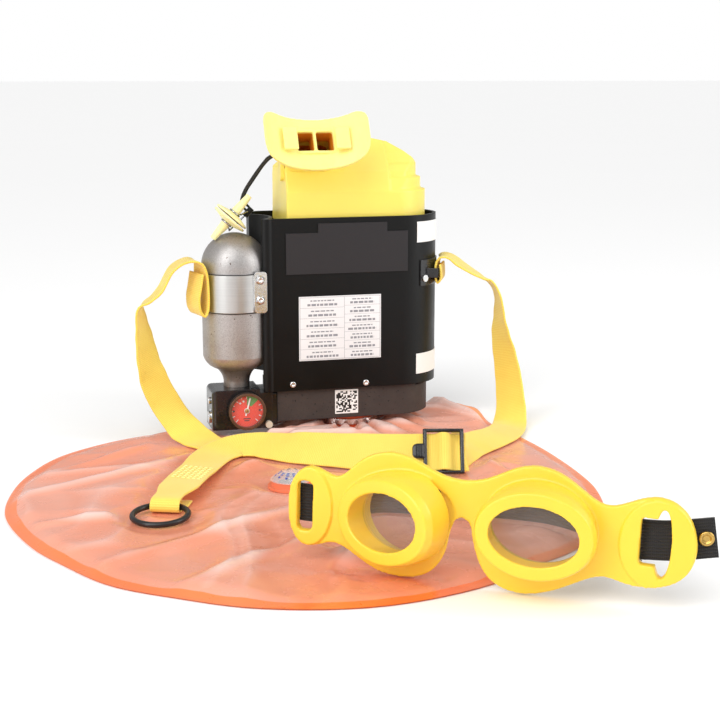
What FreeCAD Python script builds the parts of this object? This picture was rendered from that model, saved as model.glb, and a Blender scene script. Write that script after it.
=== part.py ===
import FreeCAD, Part
import math
import os

from FreeCAD import Vector as V

# Closed-circuit escape breathing set, opened for use.  Millimetres, +Z up, +X to the right of
# the unit's front, +Y to its back.  Origin on the floor, under the canister unit.

# ---- canister unit ----
DEPTH = 64.0                  # unit, front to back
END_X = 54.0                  # centre of the round right end
UNIT_LEFT = -52.0             # left tips of the shroud
SHROUD_BOTTOM, SHROUD_TOP = 34.6, 158.7
WALL = 2.2
BASE_BOTTOM = 12.0
BASE_INSET = 3.0
BASE_LEFT = -39.6
SPIGOT_X, SPIGOT_R = 19.0, 20.0

# ---- oxygen bottle and valve block ----
BOTTLE_X, BOTTLE_Y = -66.4, -12.0
BOTTLE_R = 23.8
BOTTLE_WALL = 2.4
NECK_R = 9.4
BOTTLE_FOOT, BOTTLE_SHOULDER, BOTTLE_DOME = 35.0, 60.0, 124.2
CRADLE_R = 25.0               # hollow in the shroud that takes the bottle
BAND_LOW, BAND_HIGH, BAND_T = 93.5, 120.0, 1.0
CLAMP_BOLT_X, CLAMP_BOLTS = -52.4, (102.3, 116.5)
BLOCK_LEFT, BLOCK_RIGHT = -87.0, -43.4
BLOCK_FRONT, BLOCK_BACK = -30.0, -2.0
BLOCK_LOW, BLOCK_HIGH, BLOCK_STEP = 8.0, 37.0, 34.2
PISTON_Y, PISTON_Z = -19.0, 16.0
OUTLET_Y, OUTLET_Z = -8.0, 20.0
LEVER_PIVOT_X, LEVER_Y, LEVER_Z = -74.0, -5.5, 22.0
GAUGE_X, GAUGE_Z, GAUGE_R = -62.7, 22.0, 13.0
GAUGE_AT_REST = 15.0          # needle, degrees clockwise from straight up

# ---- boot and mouthpiece ----
BOOT_LEFT, BOOT_RIGHT, BOOT_HALF = -31.0, 77.0, 27.0
BOOT_LOW = 153.0
MOUTH_AT = V(-13.3, -40.0, 212.0)
MOUTH_TILT = -28.0            # flange leans back, degrees about X
AIRWAY_W, AIRWAY_H = 26.0, 14.0

# ---- breathing bag ----
FILM_T = 0.8
BAG_TOP = 2.4
RIM_W = 7.0
RELIEF_X, RELIEF_Y = -57.0, -161.0

# ---- webbing ----
WEB_W, WEB_T = 25.0, 1.4
RING_X, RING_Y, RING_Z = -145.0, -207.0, 6.3
RING_R, RING_ROD = 16.25, 1.75
RING_SAG = 3.5                # the free side of the ring lies this much lower, degrees
BUCKLE_AT = V(45.0, -156.4, 17.2)
RAIL_T = 2.2                  # the buckle's side rails
BUCKLE_TURN = -14.0           # heading of the buckle, degrees about Z
BUCKLE_LEAN = 60.0            # buckle stands up on its front edge, degrees
BAR_R, BAR_PITCH = 1.3, 12.0

# ---- nose clip ----
CLIP_AT = V(-69.5, -17.0, 158.8)
CLIP_LEAN = 48.0              # axis of the pads above +X, degrees
PAD_R, PAD_T, PAD_GAP = 13.0, 3.4, 1.0
CORD_R = 0.9
EYELET_X = -33.6

# ---- goggles ----
GOGGLE_AT = V(-7.0, -355.0, 2.2)
GOGGLE_TURN = -33.0           # heading of the frame, degrees about Z
GOGGLE_ROLL = 2.0             # the left side stands on the bag
LEFT_EYE = (-36.0, 32.3, -23.0, 9.0)     # across, up, turn and tilt against the frame
RIGHT_EYE = (35.8, 36.2, 1.0, 0.0)
RIM_OUT = 16.0
LENS_T = 2.0
ELASTIC_W, ELASTIC_T = 20.0, 1.6

GAP = 0.3                     # clearance between pieces that move against each other


# ---- small helpers ----
def slab(x0, y0, z0, x1, y1, z1):
    return Part.makeBox(x1 - x0, y1 - y0, z1 - z0, V(x0, y0, z0))


def post(x, y, r, z0, z1):
    return Part.makeCylinder(r, z1 - z0, V(x, y, z0), V(0, 0, 1))


def rod(start, end, r):
    return Part.makeCylinder(r, (end - start).Length, start, end - start)


def ring(centre, axis, r_out, r_in, length):
    outer = Part.makeCylinder(r_out, length, centre, axis)
    return outer.cut(Part.makeCylinder(r_in, length, centre, axis))


def polygon_face(points):
    return Part.Face(Part.makePolygon(points + [points[0]]))


def loop_face(points):
    """A face inside a smooth closed curve through the points."""
    curve = Part.BSplineCurve()
    curve.interpolate(Points=points, PeriodicFlag=True)
    return Part.Face(Part.Wire(curve.toShape()))


def fuse_all(shapes):
    whole = shapes[0]
    for shape in shapes[1:]:
        whole = whole.fuse(shape)
    return whole


def rounded_box(x0, y0, z0, x1, y1, z1, r, along):
    """A box whose four edges along one direction are rounded."""
    box = slab(x0, y0, z0, x1, y1, z1)
    edges = [e for e in box.Edges if abs(e.tangentAt(0).dot(along)) > 0.99]
    return box.makeFillet(r, edges)


def ellipse_wire(centre, half_w, half_h):
    """An upright ellipse in the XZ plane."""
    curve = Part.Ellipse(V(0, 0, 0), max(half_w, half_h), min(half_w, half_h)).toShape()
    if half_h > half_w:
        curve.rotate(V(0, 0, 0), V(0, 0, 1), 90)
    curve.rotate(V(0, 0, 0), V(1, 0, 0), 90)
    curve.translate(centre)
    return Part.Wire(curve)


def ellipse_loft(sections):
    """A solid through upright ellipses, each given as centre, half width, half height."""
    return Part.makeLoft([ellipse_wire(*section) for section in sections], True, True)


def helix_spring(centre, radius, wire_r, height, turns):
    path = Part.makeHelix(height / turns, height, radius)
    profile = Part.Wire(Part.makeCircle(wire_r, V(radius, 0, 0), V(0, 1, 0)))
    spring = Part.Wire(path.Edges).makePipeShell([profile], True, True)
    spring.translate(centre)
    return spring


def ribbon(sections, thickness=WEB_T):
    """Flat webbing through sections of (x, y, z, across vector, width)."""
    centres = [V(*s[:3]) for s in sections]
    rows = []
    for i, section in enumerate(sections):
        ahead = centres[min(i + 1, len(centres) - 1)] - centres[max(i - 1, 0)]
        across = V(*section[3]).normalize() * (section[4] / 2.0)
        out = ahead.cross(across).normalize() * (thickness / 2.0)
        c = centres[i]
        rows.append([c - across - out, c + across - out, c + across + out, c - across + out])
    faces = []
    for a, b in zip(rows, rows[1:]):
        for k in range(4):
            n = (k + 1) % 4
            faces += [(a[k], a[n], b[n]), (a[k], b[n], b[k])]
    for row, order in ((rows[0], (0, 2, 1, 3)), (rows[-1], (0, 1, 2, 3))):
        faces += [(row[0], row[order[1]], row[order[2]])]
        faces += [(row[0], row[2], row[3])] if order[1] == 1 else [(row[0], row[3], row[2])]
    shell = Part.Shell([Part.Face(Part.makePolygon(list(f) + [f[0]])) for f in faces])
    solid = Part.Solid(shell)
    if solid.Volume < 0:
        solid.reverse()
    return solid


def tangent_path(points):
    """Straight runs joined by tangent arcs, each as large as its two runs allow."""
    edges, here = [], points[0]
    for before, corner, after in zip(points, points[1:], points[2:]):
        back, on = before - corner, after - corner
        half_turn = (math.pi - back.getAngle(on)) / 2.0
        cut = 0.45 * min(back.Length, on.Length)
        start = corner + back.normalize() * cut
        end = corner + on.normalize() * cut
        radius = cut / math.tan(half_turn)
        mid = corner + (back + on).normalize() * (radius / math.cos(half_turn) - radius)
        edges.append(Part.LineSegment(here, start).toShape())
        edges.append(Part.Arc(start, mid, end).toShape())
        here = end
        print("  cord bend radius %.1f mm" % radius)
    edges.append(Part.LineSegment(here, points[-1]).toShape())
    return Part.Wire(edges)


def cord_tube(points):
    path = tangent_path([V(*p) for p in points])
    ahead = V(*points[1]) - V(*points[0])
    profile = Part.Wire(Part.makeCircle(CORD_R, V(*points[0]), ahead))
    tube = path.makePipeShell([profile], True, False)
    print("  cord length %.1f mm, volume over section times length %.3f" % (
        path.Length, tube.Volume / (path.Length * math.pi * CORD_R ** 2)))
    return tube


# ---- canister unit ----
def unit_prism(inset, z0, z1):
    """The plan of the unit, drawn in by inset: round right end, hollow left end."""
    half = DEPTH / 2.0 - inset
    body = slab(UNIT_LEFT + inset, -half, z0, END_X, half, z1)
    for y, r in ((-1, 5.0), (1, 14.0)):
        corner = [e for e in body.Edges if abs(e.tangentAt(0).z) > 0.99
                  and e.CenterOfMass.x < 0 and e.CenterOfMass.y * y > 0]
        body = body.makeFillet(r, corner)
    body = body.fuse(post(END_X, 0, half, z0, z1))
    if inset == 0.0:
        body = body.fuse(post(-46.2, -28.6, 4.6, z0, z1))
    return body.cut(post(BOTTLE_X, BOTTLE_Y, CRADLE_R + inset, z0, z1)).removeSplitter()


def base_prism(inset, z0, z1):
    half = DEPTH / 2.0 - BASE_INSET - inset
    body = slab(BASE_LEFT + inset, -half, z0, END_X - BASE_INSET, half, z1)
    return body.fuse(post(END_X - BASE_INSET, 0, half, z0, z1)).removeSplitter()


WING = (-60, -20, 30, -38, 40, 44)     # the left rear wing of the shroud is cut away low down


def canister_shroud():
    shroud = unit_prism(0.0, SHROUD_BOTTOM, SHROUD_TOP)
    return shroud.cut(unit_prism(WALL, SHROUD_BOTTOM, SHROUD_TOP)).cut(slab(*WING))


def canister_base():
    floor = BASE_BOTTOM + 2.5
    base = base_prism(0.0, BASE_BOTTOM, SHROUD_BOTTOM).cut(base_prism(WALL, floor, SHROUD_BOTTOM))
    deck = base_prism(0.0, SHROUD_BOTTOM - 2.0, SHROUD_BOTTOM)
    inside = unit_prism(WALL + 2.2, SHROUD_BOTTOM - 2.0, 44.0)
    tongue = unit_prism(WALL + 0.2, SHROUD_BOTTOM, 44.0).cut(inside)
    base = base.fuse(deck).cut(inside)
    base = base.fuse(tongue.common(slab(BASE_LEFT + 2, -40, 30, 100, 40, 50)))
    base = base.fuse(post(SPIGOT_X, 0, SPIGOT_R, BAG_TOP + 1.6, floor))
    base = base.cut(post(SPIGOT_X, 0, SPIGOT_R - 3.0, BAG_TOP, floor + 1))
    inlet = Part.makeCylinder(3.0, 8.0, V(BASE_LEFT - 1, OUTLET_Y, OUTLET_Z), V(1, 0, 0))
    return base.cut(inlet).removeSplitter()


CAN_LOW, CAN_HIGH = 44.0, 150.0
CAN_INSET, CAN_WALL = 3.0, 0.8
LOWER_PAD, UPPER_PAD = (47.0, 52.0), (136.0, 141.0)


def can_layer(z0, z1):
    return unit_prism(CAN_INSET + CAN_WALL, z0, z1)


def absorbent_can():
    return unit_prism(CAN_INSET, CAN_LOW, CAN_HIGH).cut(can_layer(CAN_LOW, CAN_HIGH))


def screen(z):
    sheet = can_layer(z, z + 1.0)
    holes = [post(-28 + 12 * i, -18 + 12 * j, 3.5, z, z + 1) for i in range(9) for j in range(4)]
    return sheet.cut(fuse_all(holes))


def can_screens():
    return Part.makeCompound([screen(LOWER_PAD[0] - 1.0), screen(UPPER_PAD[1])])


def filter_pads():
    return Part.makeCompound([can_layer(*LOWER_PAD), can_layer(*UPPER_PAD)])


def absorbent_bed():
    return can_layer(LOWER_PAD[1], UPPER_PAD[0])


def can_lid():
    lid = unit_prism(CAN_INSET, CAN_HIGH, CAN_HIGH + 2.5)
    port = ring(V(-12, 0, CAN_HIGH + 2.5), V(0, 0, 1), 13.0, 11.5, 12.0)
    return lid.cut(post(-12, 0, 11.5, CAN_HIGH, CAN_HIGH + 3)).fuse(port).removeSplitter()


# ---- boot, throat and mouthpiece ----
TIERS = ((BOOT_RIGHT, 176.5), (BOOT_RIGHT - 3.2, 185.3), (BOOT_RIGHT - 6.4, 195.0))
DOME = ((59, 204), (48, 210.5), (36, 213), (10, 210), (-16, 203), (-27, 196))
SIDE = ((-27.0, BOOT_LOW), (-27.6, 176), (-23.5, 190), (-15, 203), (-6, 213), (8, 213),
        (20, 204), (26, 188), (27.0, BOOT_LOW))


def boot_form(draw):
    """The boot's outer form, drawn in by draw on every side but the bottom."""
    front = [V(BOOT_LEFT + draw, -60, BOOT_LOW)]
    for x, z in TIERS:
        front += [V(x - draw, -60, front[-1].z), V(x - draw, -60, z - draw)]
    front += [V(x - draw * 0.4, -60, z - draw) for x, z in DOME]
    front += [V(BOOT_LEFT + draw, -60, 192.5 - draw)]
    form = polygon_face(front).extrude(V(0, 120, 0))
    shrink = (BOOT_HALF - draw) / BOOT_HALF
    side = [V(-60, y * shrink, z if z == BOOT_LOW else z - draw) for y, z in SIDE]
    form = form.common(polygon_face(side).extrude(V(160, 0, 0)))
    plan = slab(BOOT_LEFT - 5, -40, BOOT_LOW, BOOT_RIGHT - 27, 40, 230)
    for (x, top), low in zip(TIERS + ((TIERS[-1][0], 230),), (BOOT_LOW, 176.5, 185.3, 195.0)):
        plan = plan.fuse(post(x - BOOT_HALF, 0, BOOT_HALF + 0.6 - draw, low, top))
    return form.common(plan)


def mouth_place(shape):
    """Set a shape drawn around the mouth opening, facing -Y, in its place."""
    shape.Placement = FreeCAD.Placement(MOUTH_AT, FreeCAD.Rotation(V(1, 0, 0), MOUTH_TILT))
    return shape


def boot():
    neck = mouth_place(rounded_box(-17.4, 25, -11, 17.4, 40, 12, 7, V(0, 1, 0)))
    passage = mouth_place(rounded_box(-15.4, 20, -9.3, 15.4, 38, 9.8, 5.5, V(0, 1, 0)))
    throat = mouth_place(rounded_box(-17.4, 4, -11, 17.4, 25, 12, 7, V(0, 1, 0)))
    shell = boot_form(0.0).fuse(neck).cut(boot_form(WALL)).cut(passage).cut(throat)
    return shell.cut(slab(-60, -60, BOOT_LOW - 5, 90, 60, BOOT_LOW))


def mouth_throat():
    outer = rounded_box(-17.4, 4, -11, 17.4, 25, 12, 7, V(0, 1, 0))
    inner = rounded_box(-15.4, 4, -9.3, 15.4, 25, 9.8, 5.5, V(0, 1, 0))
    return mouth_place(outer.cut(inner))


FLANGE_CURVE = 62.0           # radius of the flange's wrap round the mouth
FLANGE_T = 2.6
HALF_FLANGE = ((12, 17.4), (24, 18.7), (31.5, 19.3), (35.6, 16.2), (36.9, 8), (36.8, -4),
               (34.3, -12.3), (26.5, -17.6), (14, -20))


def mouthpiece():
    right = [V(x, -30, z) for x, z in HALF_FLANGE]
    left = [V(-p.x, -30, p.z) for p in reversed(right)]
    edge = [V(0, -30, 17.0)] + right + [V(0, -30, -20.6)] + left
    outline = loop_face(edge).extrude(V(0, 60, 0))
    centre = V(0, -FLANGE_CURVE + FLANGE_T, -40)
    wrap = ring(centre, V(0, 0, 1), FLANGE_CURVE, FLANGE_CURVE - FLANGE_T, 80)
    tube = rounded_box(-14.6, -2, -9, 14.6, 14, 9, 4.0, V(0, 1, 0))
    pieces = [wrap.common(outline), tube]
    for side in (-1, 1):
        inner, outer = sorted((13.2 * side, 23.5 * side))
        pieces.append(slab(inner, -8, -8.5, outer, -6.5, 8.5))
        inner, outer = sorted((14.0 * side, 17.0 * side))
        pieces.append(slab(inner, -7, -5, outer, 1, 5))
    whole = fuse_all(pieces)
    bar = 1.0
    for x0, x1 in ((-AIRWAY_W / 2, -bar), (bar, AIRWAY_W / 2)):
        whole = whole.cut(slab(x0, -40, -AIRWAY_H / 2, x1, 40, AIRWAY_H / 2))
    return mouth_place(whole.removeSplitter())


# ---- oxygen bottle, band and valve block ----
def bottle_form(draw, neck):
    """The bottle's form about its own axis, drawn in by draw, with a neck of its own radius."""
    r, low = BOTTLE_R - draw, BOTTLE_FOOT + 6 + draw
    start, turn, end = V(neck, 0, low), V(15 - draw, 0, low + 9.5), V(r, 0, BOTTLE_SHOULDER)
    edges = [Part.LineSegment(V(0, 0, BOTTLE_FOOT), V(neck, 0, BOTTLE_FOOT)),
             Part.LineSegment(V(neck, 0, BOTTLE_FOOT), start),
             Part.Arc(start, V((neck + turn.x) / 2 - 1, 0, low + 5.4), turn),
             Part.Arc(turn, V(21.2 - draw, 0, low + 13.6), end),
             Part.LineSegment(end, V(r, 0, BOTTLE_DOME)),
             Part.LineSegment(V(r, 0, BOTTLE_DOME), V(0, 0, BOTTLE_DOME)),
             Part.LineSegment(V(0, 0, BOTTLE_DOME), V(0, 0, BOTTLE_FOOT))]
    lower = Part.Face(Part.Wire([e.toShape() for e in edges]))
    lower = lower.revolve(V(0, 0, 0), V(0, 0, 1), 360)
    form = lower.fuse(Part.makeSphere(r, V(0, 0, BOTTLE_DOME), V(0, 0, 1), 0, 90, 360))
    form.translate(V(BOTTLE_X, BOTTLE_Y, 0))
    return form


def oxygen_bottle():
    return bottle_form(0.0, NECK_R).cut(bottle_form(BOTTLE_WALL, 4.0)).removeSplitter()


def bottle_band():
    return ring(V(BOTTLE_X, BOTTLE_Y, BAND_LOW), V(0, 0, 1), BOTTLE_R + BAND_T, BOTTLE_R,
                BAND_HIGH - BAND_LOW)


def clamp_rods(y_front, y_back, r):
    return fuse_all([rod(V(CLAMP_BOLT_X, y_front, z), V(CLAMP_BOLT_X, y_back, z), r)
                     for z in CLAMP_BOLTS])


def band_clamp():
    plate = rounded_box(-56.5, -36, 93, -47.5, -35, 122.3, 2.5, V(0, 1, 0))
    foot = slab(-57.5, -35, 97, -52, -30, 119)
    foot = foot.cut(post(BOTTLE_X, BOTTLE_Y, BOTTLE_R + BAND_T, 90, 125))
    return plate.fuse(foot).cut(clamp_rods(-40, -33.4, 1.2)).removeSplitter()


def band_bolts():
    return clamp_rods(-37.8, -36, 2.3).fuse(clamp_rods(-36, -33.8, 1.2)).removeSplitter()


def valve_block():
    block = slab(BLOCK_LEFT, BLOCK_FRONT, BLOCK_LOW, BLOCK_RIGHT, BLOCK_BACK, BLOCK_HIGH)
    rounded = [e for e in block.Edges if e.CenterOfMass.x < BLOCK_LEFT + 1
               and (e.CenterOfMass.y < BLOCK_FRONT + 1 or e.CenterOfMass.z > BLOCK_HIGH - 1)]
    block = block.makeFillet(3.5, rounded)
    block = block.cut(slab(-52.5, -40, BLOCK_STEP, BLOCK_RIGHT, 0, BLOCK_HIGH))
    block = block.cut(post(BOTTLE_X, BOTTLE_Y, NECK_R, BOTTLE_FOOT, BLOCK_HIGH))
    feed = post(BOTTLE_X, BOTTLE_Y, 2.0, PISTON_Z, BLOCK_HIGH)
    bore = rod(V(BLOCK_LEFT, PISTON_Y, PISTON_Z), V(-66, PISTON_Y, PISTON_Z), 6.0)
    port = rod(V(-68, PISTON_Y, PISTON_Z), V(-68, OUTLET_Y, PISTON_Z), 1.5)
    gauge_port = rod(V(GAUGE_X, BLOCK_FRONT, PISTON_Z), V(BOTTLE_X, BOTTLE_Y, PISTON_Z), 1.5)
    chamber = rod(V(-66, OUTLET_Y, LEVER_Z), V(-66, BLOCK_BACK, LEVER_Z), 11.0)
    outlet = rod(V(-58, OUTLET_Y, OUTLET_Z), V(BLOCK_RIGHT, OUTLET_Y, OUTLET_Z), 3.0)
    block = block.cut(fuse_all([feed, bore, port, gauge_port, chamber, outlet]))
    return block.fuse(post(LEVER_PIVOT_X, LEVER_Y, 0.6, LEVER_Z - 8.5, LEVER_Z + 8.5))


def block_flange():
    plate = rounded_box(BLOCK_RIGHT, -28, 9, BASE_LEFT, 0, BLOCK_STEP, 2.0, V(1, 0, 0))
    return plate.cut(rod(V(-50, OUTLET_Y, OUTLET_Z), V(-30, OUTLET_Y, OUTLET_Z), 3.0))


def oxygen_outlet():
    return ring(V(-52, OUTLET_Y, OUTLET_Z), V(1, 0, 0), 3.0, 2.0, 20.0)


def bleed_plug():
    return rod(V(-46.6, BLOCK_FRONT, 10.9), V(-46.6, BLOCK_FRONT - 3, 10.9), 2.6)


def side_plugs():
    face = BLOCK_LEFT
    shank = rod(V(face, PISTON_Y, PISTON_Z), V(face + 3, PISTON_Y, PISTON_Z), 6.0)
    head = rod(V(face - 1.6, PISTON_Y, PISTON_Z), V(face, PISTON_Y, PISTON_Z), 4.5)
    small = rod(V(face - 1.4, PISTON_Y, 28), V(face, PISTON_Y, 28), 2.6)
    return Part.makeCompound([shank.fuse(head).removeSplitter(), small])


def reducer_piston():
    crown = BLOCK_LEFT + 5
    head = rod(V(crown, PISTON_Y, PISTON_Z), V(crown + 3.5, PISTON_Y, PISTON_Z), 5.7)
    return head.fuse(rod(V(crown + 3.5, PISTON_Y, PISTON_Z), V(-70, PISTON_Y, PISTON_Z), 2.0))


def reducer_spring():
    spring = helix_spring(V(0, 0, 0), 4.0, 0.6, 11.0, 4)
    spring.rotate(V(0, 0, 0), V(0, 1, 0), 90)
    spring.translate(V(BLOCK_LEFT + 9.2, PISTON_Y, PISTON_Z))
    return spring


def demand_lever():
    arm = slab(LEVER_PIVOT_X, LEVER_Y - 0.6, LEVER_Z - 2, -60, LEVER_Y + 0.6, LEVER_Z + 2)
    boss = post(LEVER_PIVOT_X, LEVER_Y, 1.4, LEVER_Z - 2, LEVER_Z + 2)
    return arm.fuse(boss).cut(post(LEVER_PIVOT_X, LEVER_Y, 0.7, LEVER_Z - 3, LEVER_Z + 3))


def behind_block(r, start, end):
    """A disc on the lever chamber's axis, from start to end behind the block."""
    return rod(V(-66, BLOCK_BACK + start, LEVER_Z), V(-66, BLOCK_BACK + end, LEVER_Z), r)


def demand_diaphragm():
    return behind_block(12.5, 0, 0.8)


def diaphragm_cover():
    hollow = fuse_all([behind_block(12.5, 0, 0.8), behind_block(11.0, 0, 3.6), behind_block(1.5, 0, 6)])
    return behind_block(14.0, 0, 5.0).cut(hollow)


# ---- gauge, facing the front ----
def gauge_disc(r, y_front, y_back):
    return rod(V(GAUGE_X, y_back, GAUGE_Z), V(GAUGE_X, y_front, GAUGE_Z), r)


def gauge_case():
    return gauge_disc(GAUGE_R, -35.0, BLOCK_FRONT).cut(gauge_disc(GAUGE_R - 1.3, -35.0, -31.4))


def gauge_dial():
    return gauge_disc(GAUGE_R - 1.3, -32.0, -31.4).fuse(gauge_disc(0.5, -33.4, -32.0))


def gauge_needle():
    hub = gauge_disc(1.9, -33.4, -32.3).cut(gauge_disc(0.7, -33.6, -32.0))
    blade = slab(GAUGE_X - 0.5, -33.1, GAUGE_Z + 1.2, GAUGE_X + 0.5, -32.6, GAUGE_Z + 9.6)
    tail = slab(GAUGE_X - 0.5, -33.1, GAUGE_Z - 3.6, GAUGE_X + 0.5, -32.6, GAUGE_Z - 1.2)
    needle = fuse_all([hub, blade, tail])
    needle.rotate(V(GAUGE_X, 0, GAUGE_Z), V(0, 1, 0), GAUGE_AT_REST)
    return needle


def gauge_lens():
    return gauge_disc(GAUGE_R - 1.3, -35.0, -34.2)


def gauge_bezel():
    return gauge_disc(GAUGE_R + 0.4, -36.0, -35.0).cut(gauge_disc(GAUGE_R - 1.6, -36.0, -35.0))


# ---- plates, labels and screws on the shroud ----
def name_plate():
    front = -DEPTH / 2
    plate = slab(-33, front - 0.8, 119, 56.5, front, 148.2)
    return plate.fuse(slab(-9.6, front - 0.8, 148.2, 41, front, 154.8)).removeSplitter()


def white_label():
    return slab(-24, -DEPTH / 2 - 0.4, 56.2, 36.6, -DEPTH / 2, 102.8)


def square_label():
    face = DEPTH / 2 - BASE_INSET
    return slab(3, -face - 0.4, 15, 20.3, -face, 32.8)


def side_labels():
    labels = []
    for z in (42.0, 139.0):
        wrap = ring(V(END_X, 0, z), V(0, 0, 1), DEPTH / 2 + 0.4, DEPTH / 2, 15.0)
        labels.append(wrap.common(slab(END_X + 10, -40, z, END_X + 40, -3, z + 15)))
    return Part.makeCompound(labels)


SCREWS = ((-28.8, 39.3), (25.5, 37.9))


def shroud_screws():
    front = -DEPTH / 2
    return Part.makeCompound([rod(V(x, front - 1.0, z), V(x, front, z), 2.2) for x, z in SCREWS])


# ---- strap bracket on the round right end ----
BRACKET_TURN = -24.0
BRACKET_LOW, BRACKET_HIGH = 107.0, 126.0
BAR_OUT, BAR_LOW, BAR_HIGH = 35.0, 112.5, 119.5


def at_end(shape, turn):
    """Set a shape drawn about the origin on the round end, turned about its axis."""
    shape.rotate(V(0, 0, 0), V(0, 0, 1), turn)
    shape.translate(V(END_X, 0, 0))
    return shape


def bracket_point(out, z):
    """A point of the webbing's loop, straight out from the bracket."""
    a = math.radians(BRACKET_TURN)
    return (END_X + out * math.cos(a), out * math.sin(a), z)


def strap_bracket():
    r = DEPTH / 2
    wrap = ring(V(0, 0, BRACKET_LOW), V(0, 0, 1), r + 1, r, BRACKET_HIGH - BRACKET_LOW)
    sector = polygon_face([V(0, 0, 100), V(62, 60, 100), V(80, 0, 100), V(60, -55, 100)])
    plate = wrap.common(sector.extrude(V(0, 0, 40)))
    ears = [slab(26, y, BAR_LOW, BAR_OUT + 1.2, y + 2, BAR_HIGH) for y in (-16.5, 14.5)]
    ears = [ear.cut(post(0, 0, r + 0.5, 90, 130)) for ear in ears]
    bar = slab(BAR_OUT, -16.5, BAR_LOW, BAR_OUT + 1.2, 16.5, BAR_HIGH)
    return at_end(fuse_all([plate, bar] + ears).removeSplitter(), BRACKET_TURN)


def bracket_rivet():
    r = DEPTH / 2 + 1.0
    head = rod(V(r - 0.3, 0, 112.5), V(r + 1.4, 0, 112.5), 2.6).cut(post(0, 0, r, 100, 120))
    return at_end(head, -60.0)


# ---- straps ----
LEFT_STRAP = (
    (-94.6, -19, 121, (-0.24, 0.97, 0)), (-96.1, -19.4, 112, (-0.24, 0.97, 0)),
    (-97.6, -19.8, 103, (-0.24, 0.97, 0)), (-96.7, -19.6, 95, (-0.24, 0.97, 0)),
    (-93.6, -18.8, 91, (-0.24, 0.97, 0)), (-91.3, -18.2, 95, (-0.24, 0.97, 0)),
    (-91.3, -18.2, 119, (-0.24, 0.97, 0)), (-93.2, -18.7, 127.5, (-0.15, 0.99, 0)),
    (-98.5, -18.4, 130, (-0.06, 1, 0)),
    (-104, -18, 129.1, (0, 1, 0)), (-112.7, -20, 123.6, (0, 1, 0)),
    (-120.8, -20, 109.8, (0, 1, 0)), (-127.9, -20, 103, (0.1, 1, 0)),
    (-134.7, -20, 98.3, (0.25, 0.95, 0)), (-134.4, -20, 87.2, (0.39, 0.92, 0)),
    (-132.9, -20, 75.8, (0.55, 0.81, -0.19)), (-130.4, -20, 58.9, (0.69, 0.71, -0.13)),
    (-126.9, -20, 45.7, (0.83, 0.56, 0)), (-123.5, -20, 36.9, (0.81, 0.56, 0.19)),
    (-118.5, -20, 27.2, (0.83, 0.51, 0.21)), (-112.5, -22, 17.5, (0.77, 0.55, 0.33)),
    (-107, -27, 10.6, (0.74, 0.49, 0.4)), (-100.6, -38, 6.6, (0.76, 0.56, 0.25)),
    (-92, -51, 4.3, (0.75, 0.63, 0.08)), (-78, -66, 3.4, (0.4, 0.92, 0)),
    (-58, -73, 3.4, (0.4, 0.92, 0)), (-30, -90, 3.4, (0.52, 0.85, 0)),
    (0, -114, 3.4, (0.55, 0.83, 0)), (26, -134, 3.4, (0.5, 0.86, 0)))

RIGHT_STRAP = (
    (92, -15, 126.4, (0.31, 0.95, 0.05)), (99.3, -16, 122.4, (0.39, 0.92, 0.07)),
    (108.5, -17, 116.4, (0.39, 0.92, 0)), (118.5, -18, 110.6, (0.35, 0.93, -0.06)),
    (123.6, -19, 107.6, (0.27, 0.94, -0.2)), (128.2, -20, 101.7, (0.23, 0.96, -0.17)),
    (130.6, -21, 94.2, (0.16, 0.98, -0.13)), (131.3, -22, 81.9, (0.04, 0.99, -0.16)),
    (132.3, -23, 67.7, (-0.16, 0.93, -0.32)), (135, -25, 52.2, (-0.36, 0.89, -0.27)),
    (136.6, -29, 36.5, (-0.49, 0.85, -0.17)), (136.6, -34, 22.6, (-0.56, 0.82, -0.1)),
    (135.6, -39, 12.5, (-0.6, 0.8, 0)), (132.8, -45, 7, (-0.65, 0.76, 0)),
    (129, -54, 4.8, (-0.72, 0.69, 0.05)), (122.8, -66.1, 5.1, (-0.78, 0.61, 0.12)),
    (110.6, -83.9, 6.4, (-0.76, 0.61, 0.22)), (91.1, -102.3, 7.8, (-0.66, 0.67, 0.33)),
    (76.9, -115.1, 8.9, (-0.6, 0.68, 0.42)), (65.4, -133.5, 12.4, (-0.3, 0.66, 0.69)),
    (61.3, -147.5, 14.5, (-0.05, 0.55, 0.83)))

RUN_STRAP = (
    (20.4, -144.5, 15.2, (0.24, 0.44, 0.87)), (-2.9, -131.9, 14.1, (0.27, 0.47, 0.84)),
    (-21, -118.4, 13, (0.37, 0.56, 0.74)), (-38.1, -105.5, 12.1, (0.37, 0.63, 0.68)),
    (-52.7, -89.2, 10.1, (0.61, 0.6, 0.52)), (-61, -79.1, 9.2, (0.55, 0.71, 0.44)),
    (-69.2, -75, 8.6, (0.18, 0.9, 0.39)), (-77.3, -73.8, 7.9, (-0.2, 0.92, 0.33)),
    (-84.6, -77.2, 7.2, (-0.5, 0.82, 0.27)), (-91.9, -83.6, 6.6, (-0.77, 0.6, 0.21)),
    (-100.7, -99, 6.8, (-0.87, 0.45, 0.16)), (-109.5, -120, 7.4, (-0.89, 0.43, 0.06)),
    (-119.5, -143.3, 8.8, (-0.92, 0.38, 0.03)), (-128.5, -167, 10.3, (-0.92, 0.38, 0)))


def ribbon_width(point, width):
    return tuple(point) + (width,)


def buckle_frame():
    """Directions of the buckle: along the webbing, across it, and out of the frame."""
    turn, lean = math.radians(BUCKLE_TURN), math.radians(BUCKLE_LEAN)
    along = V(math.cos(turn), math.sin(turn), 0)
    across = V(-math.sin(turn) * math.cos(lean), math.cos(turn) * math.cos(lean), math.sin(lean))
    return along, across, along.cross(across)


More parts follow.
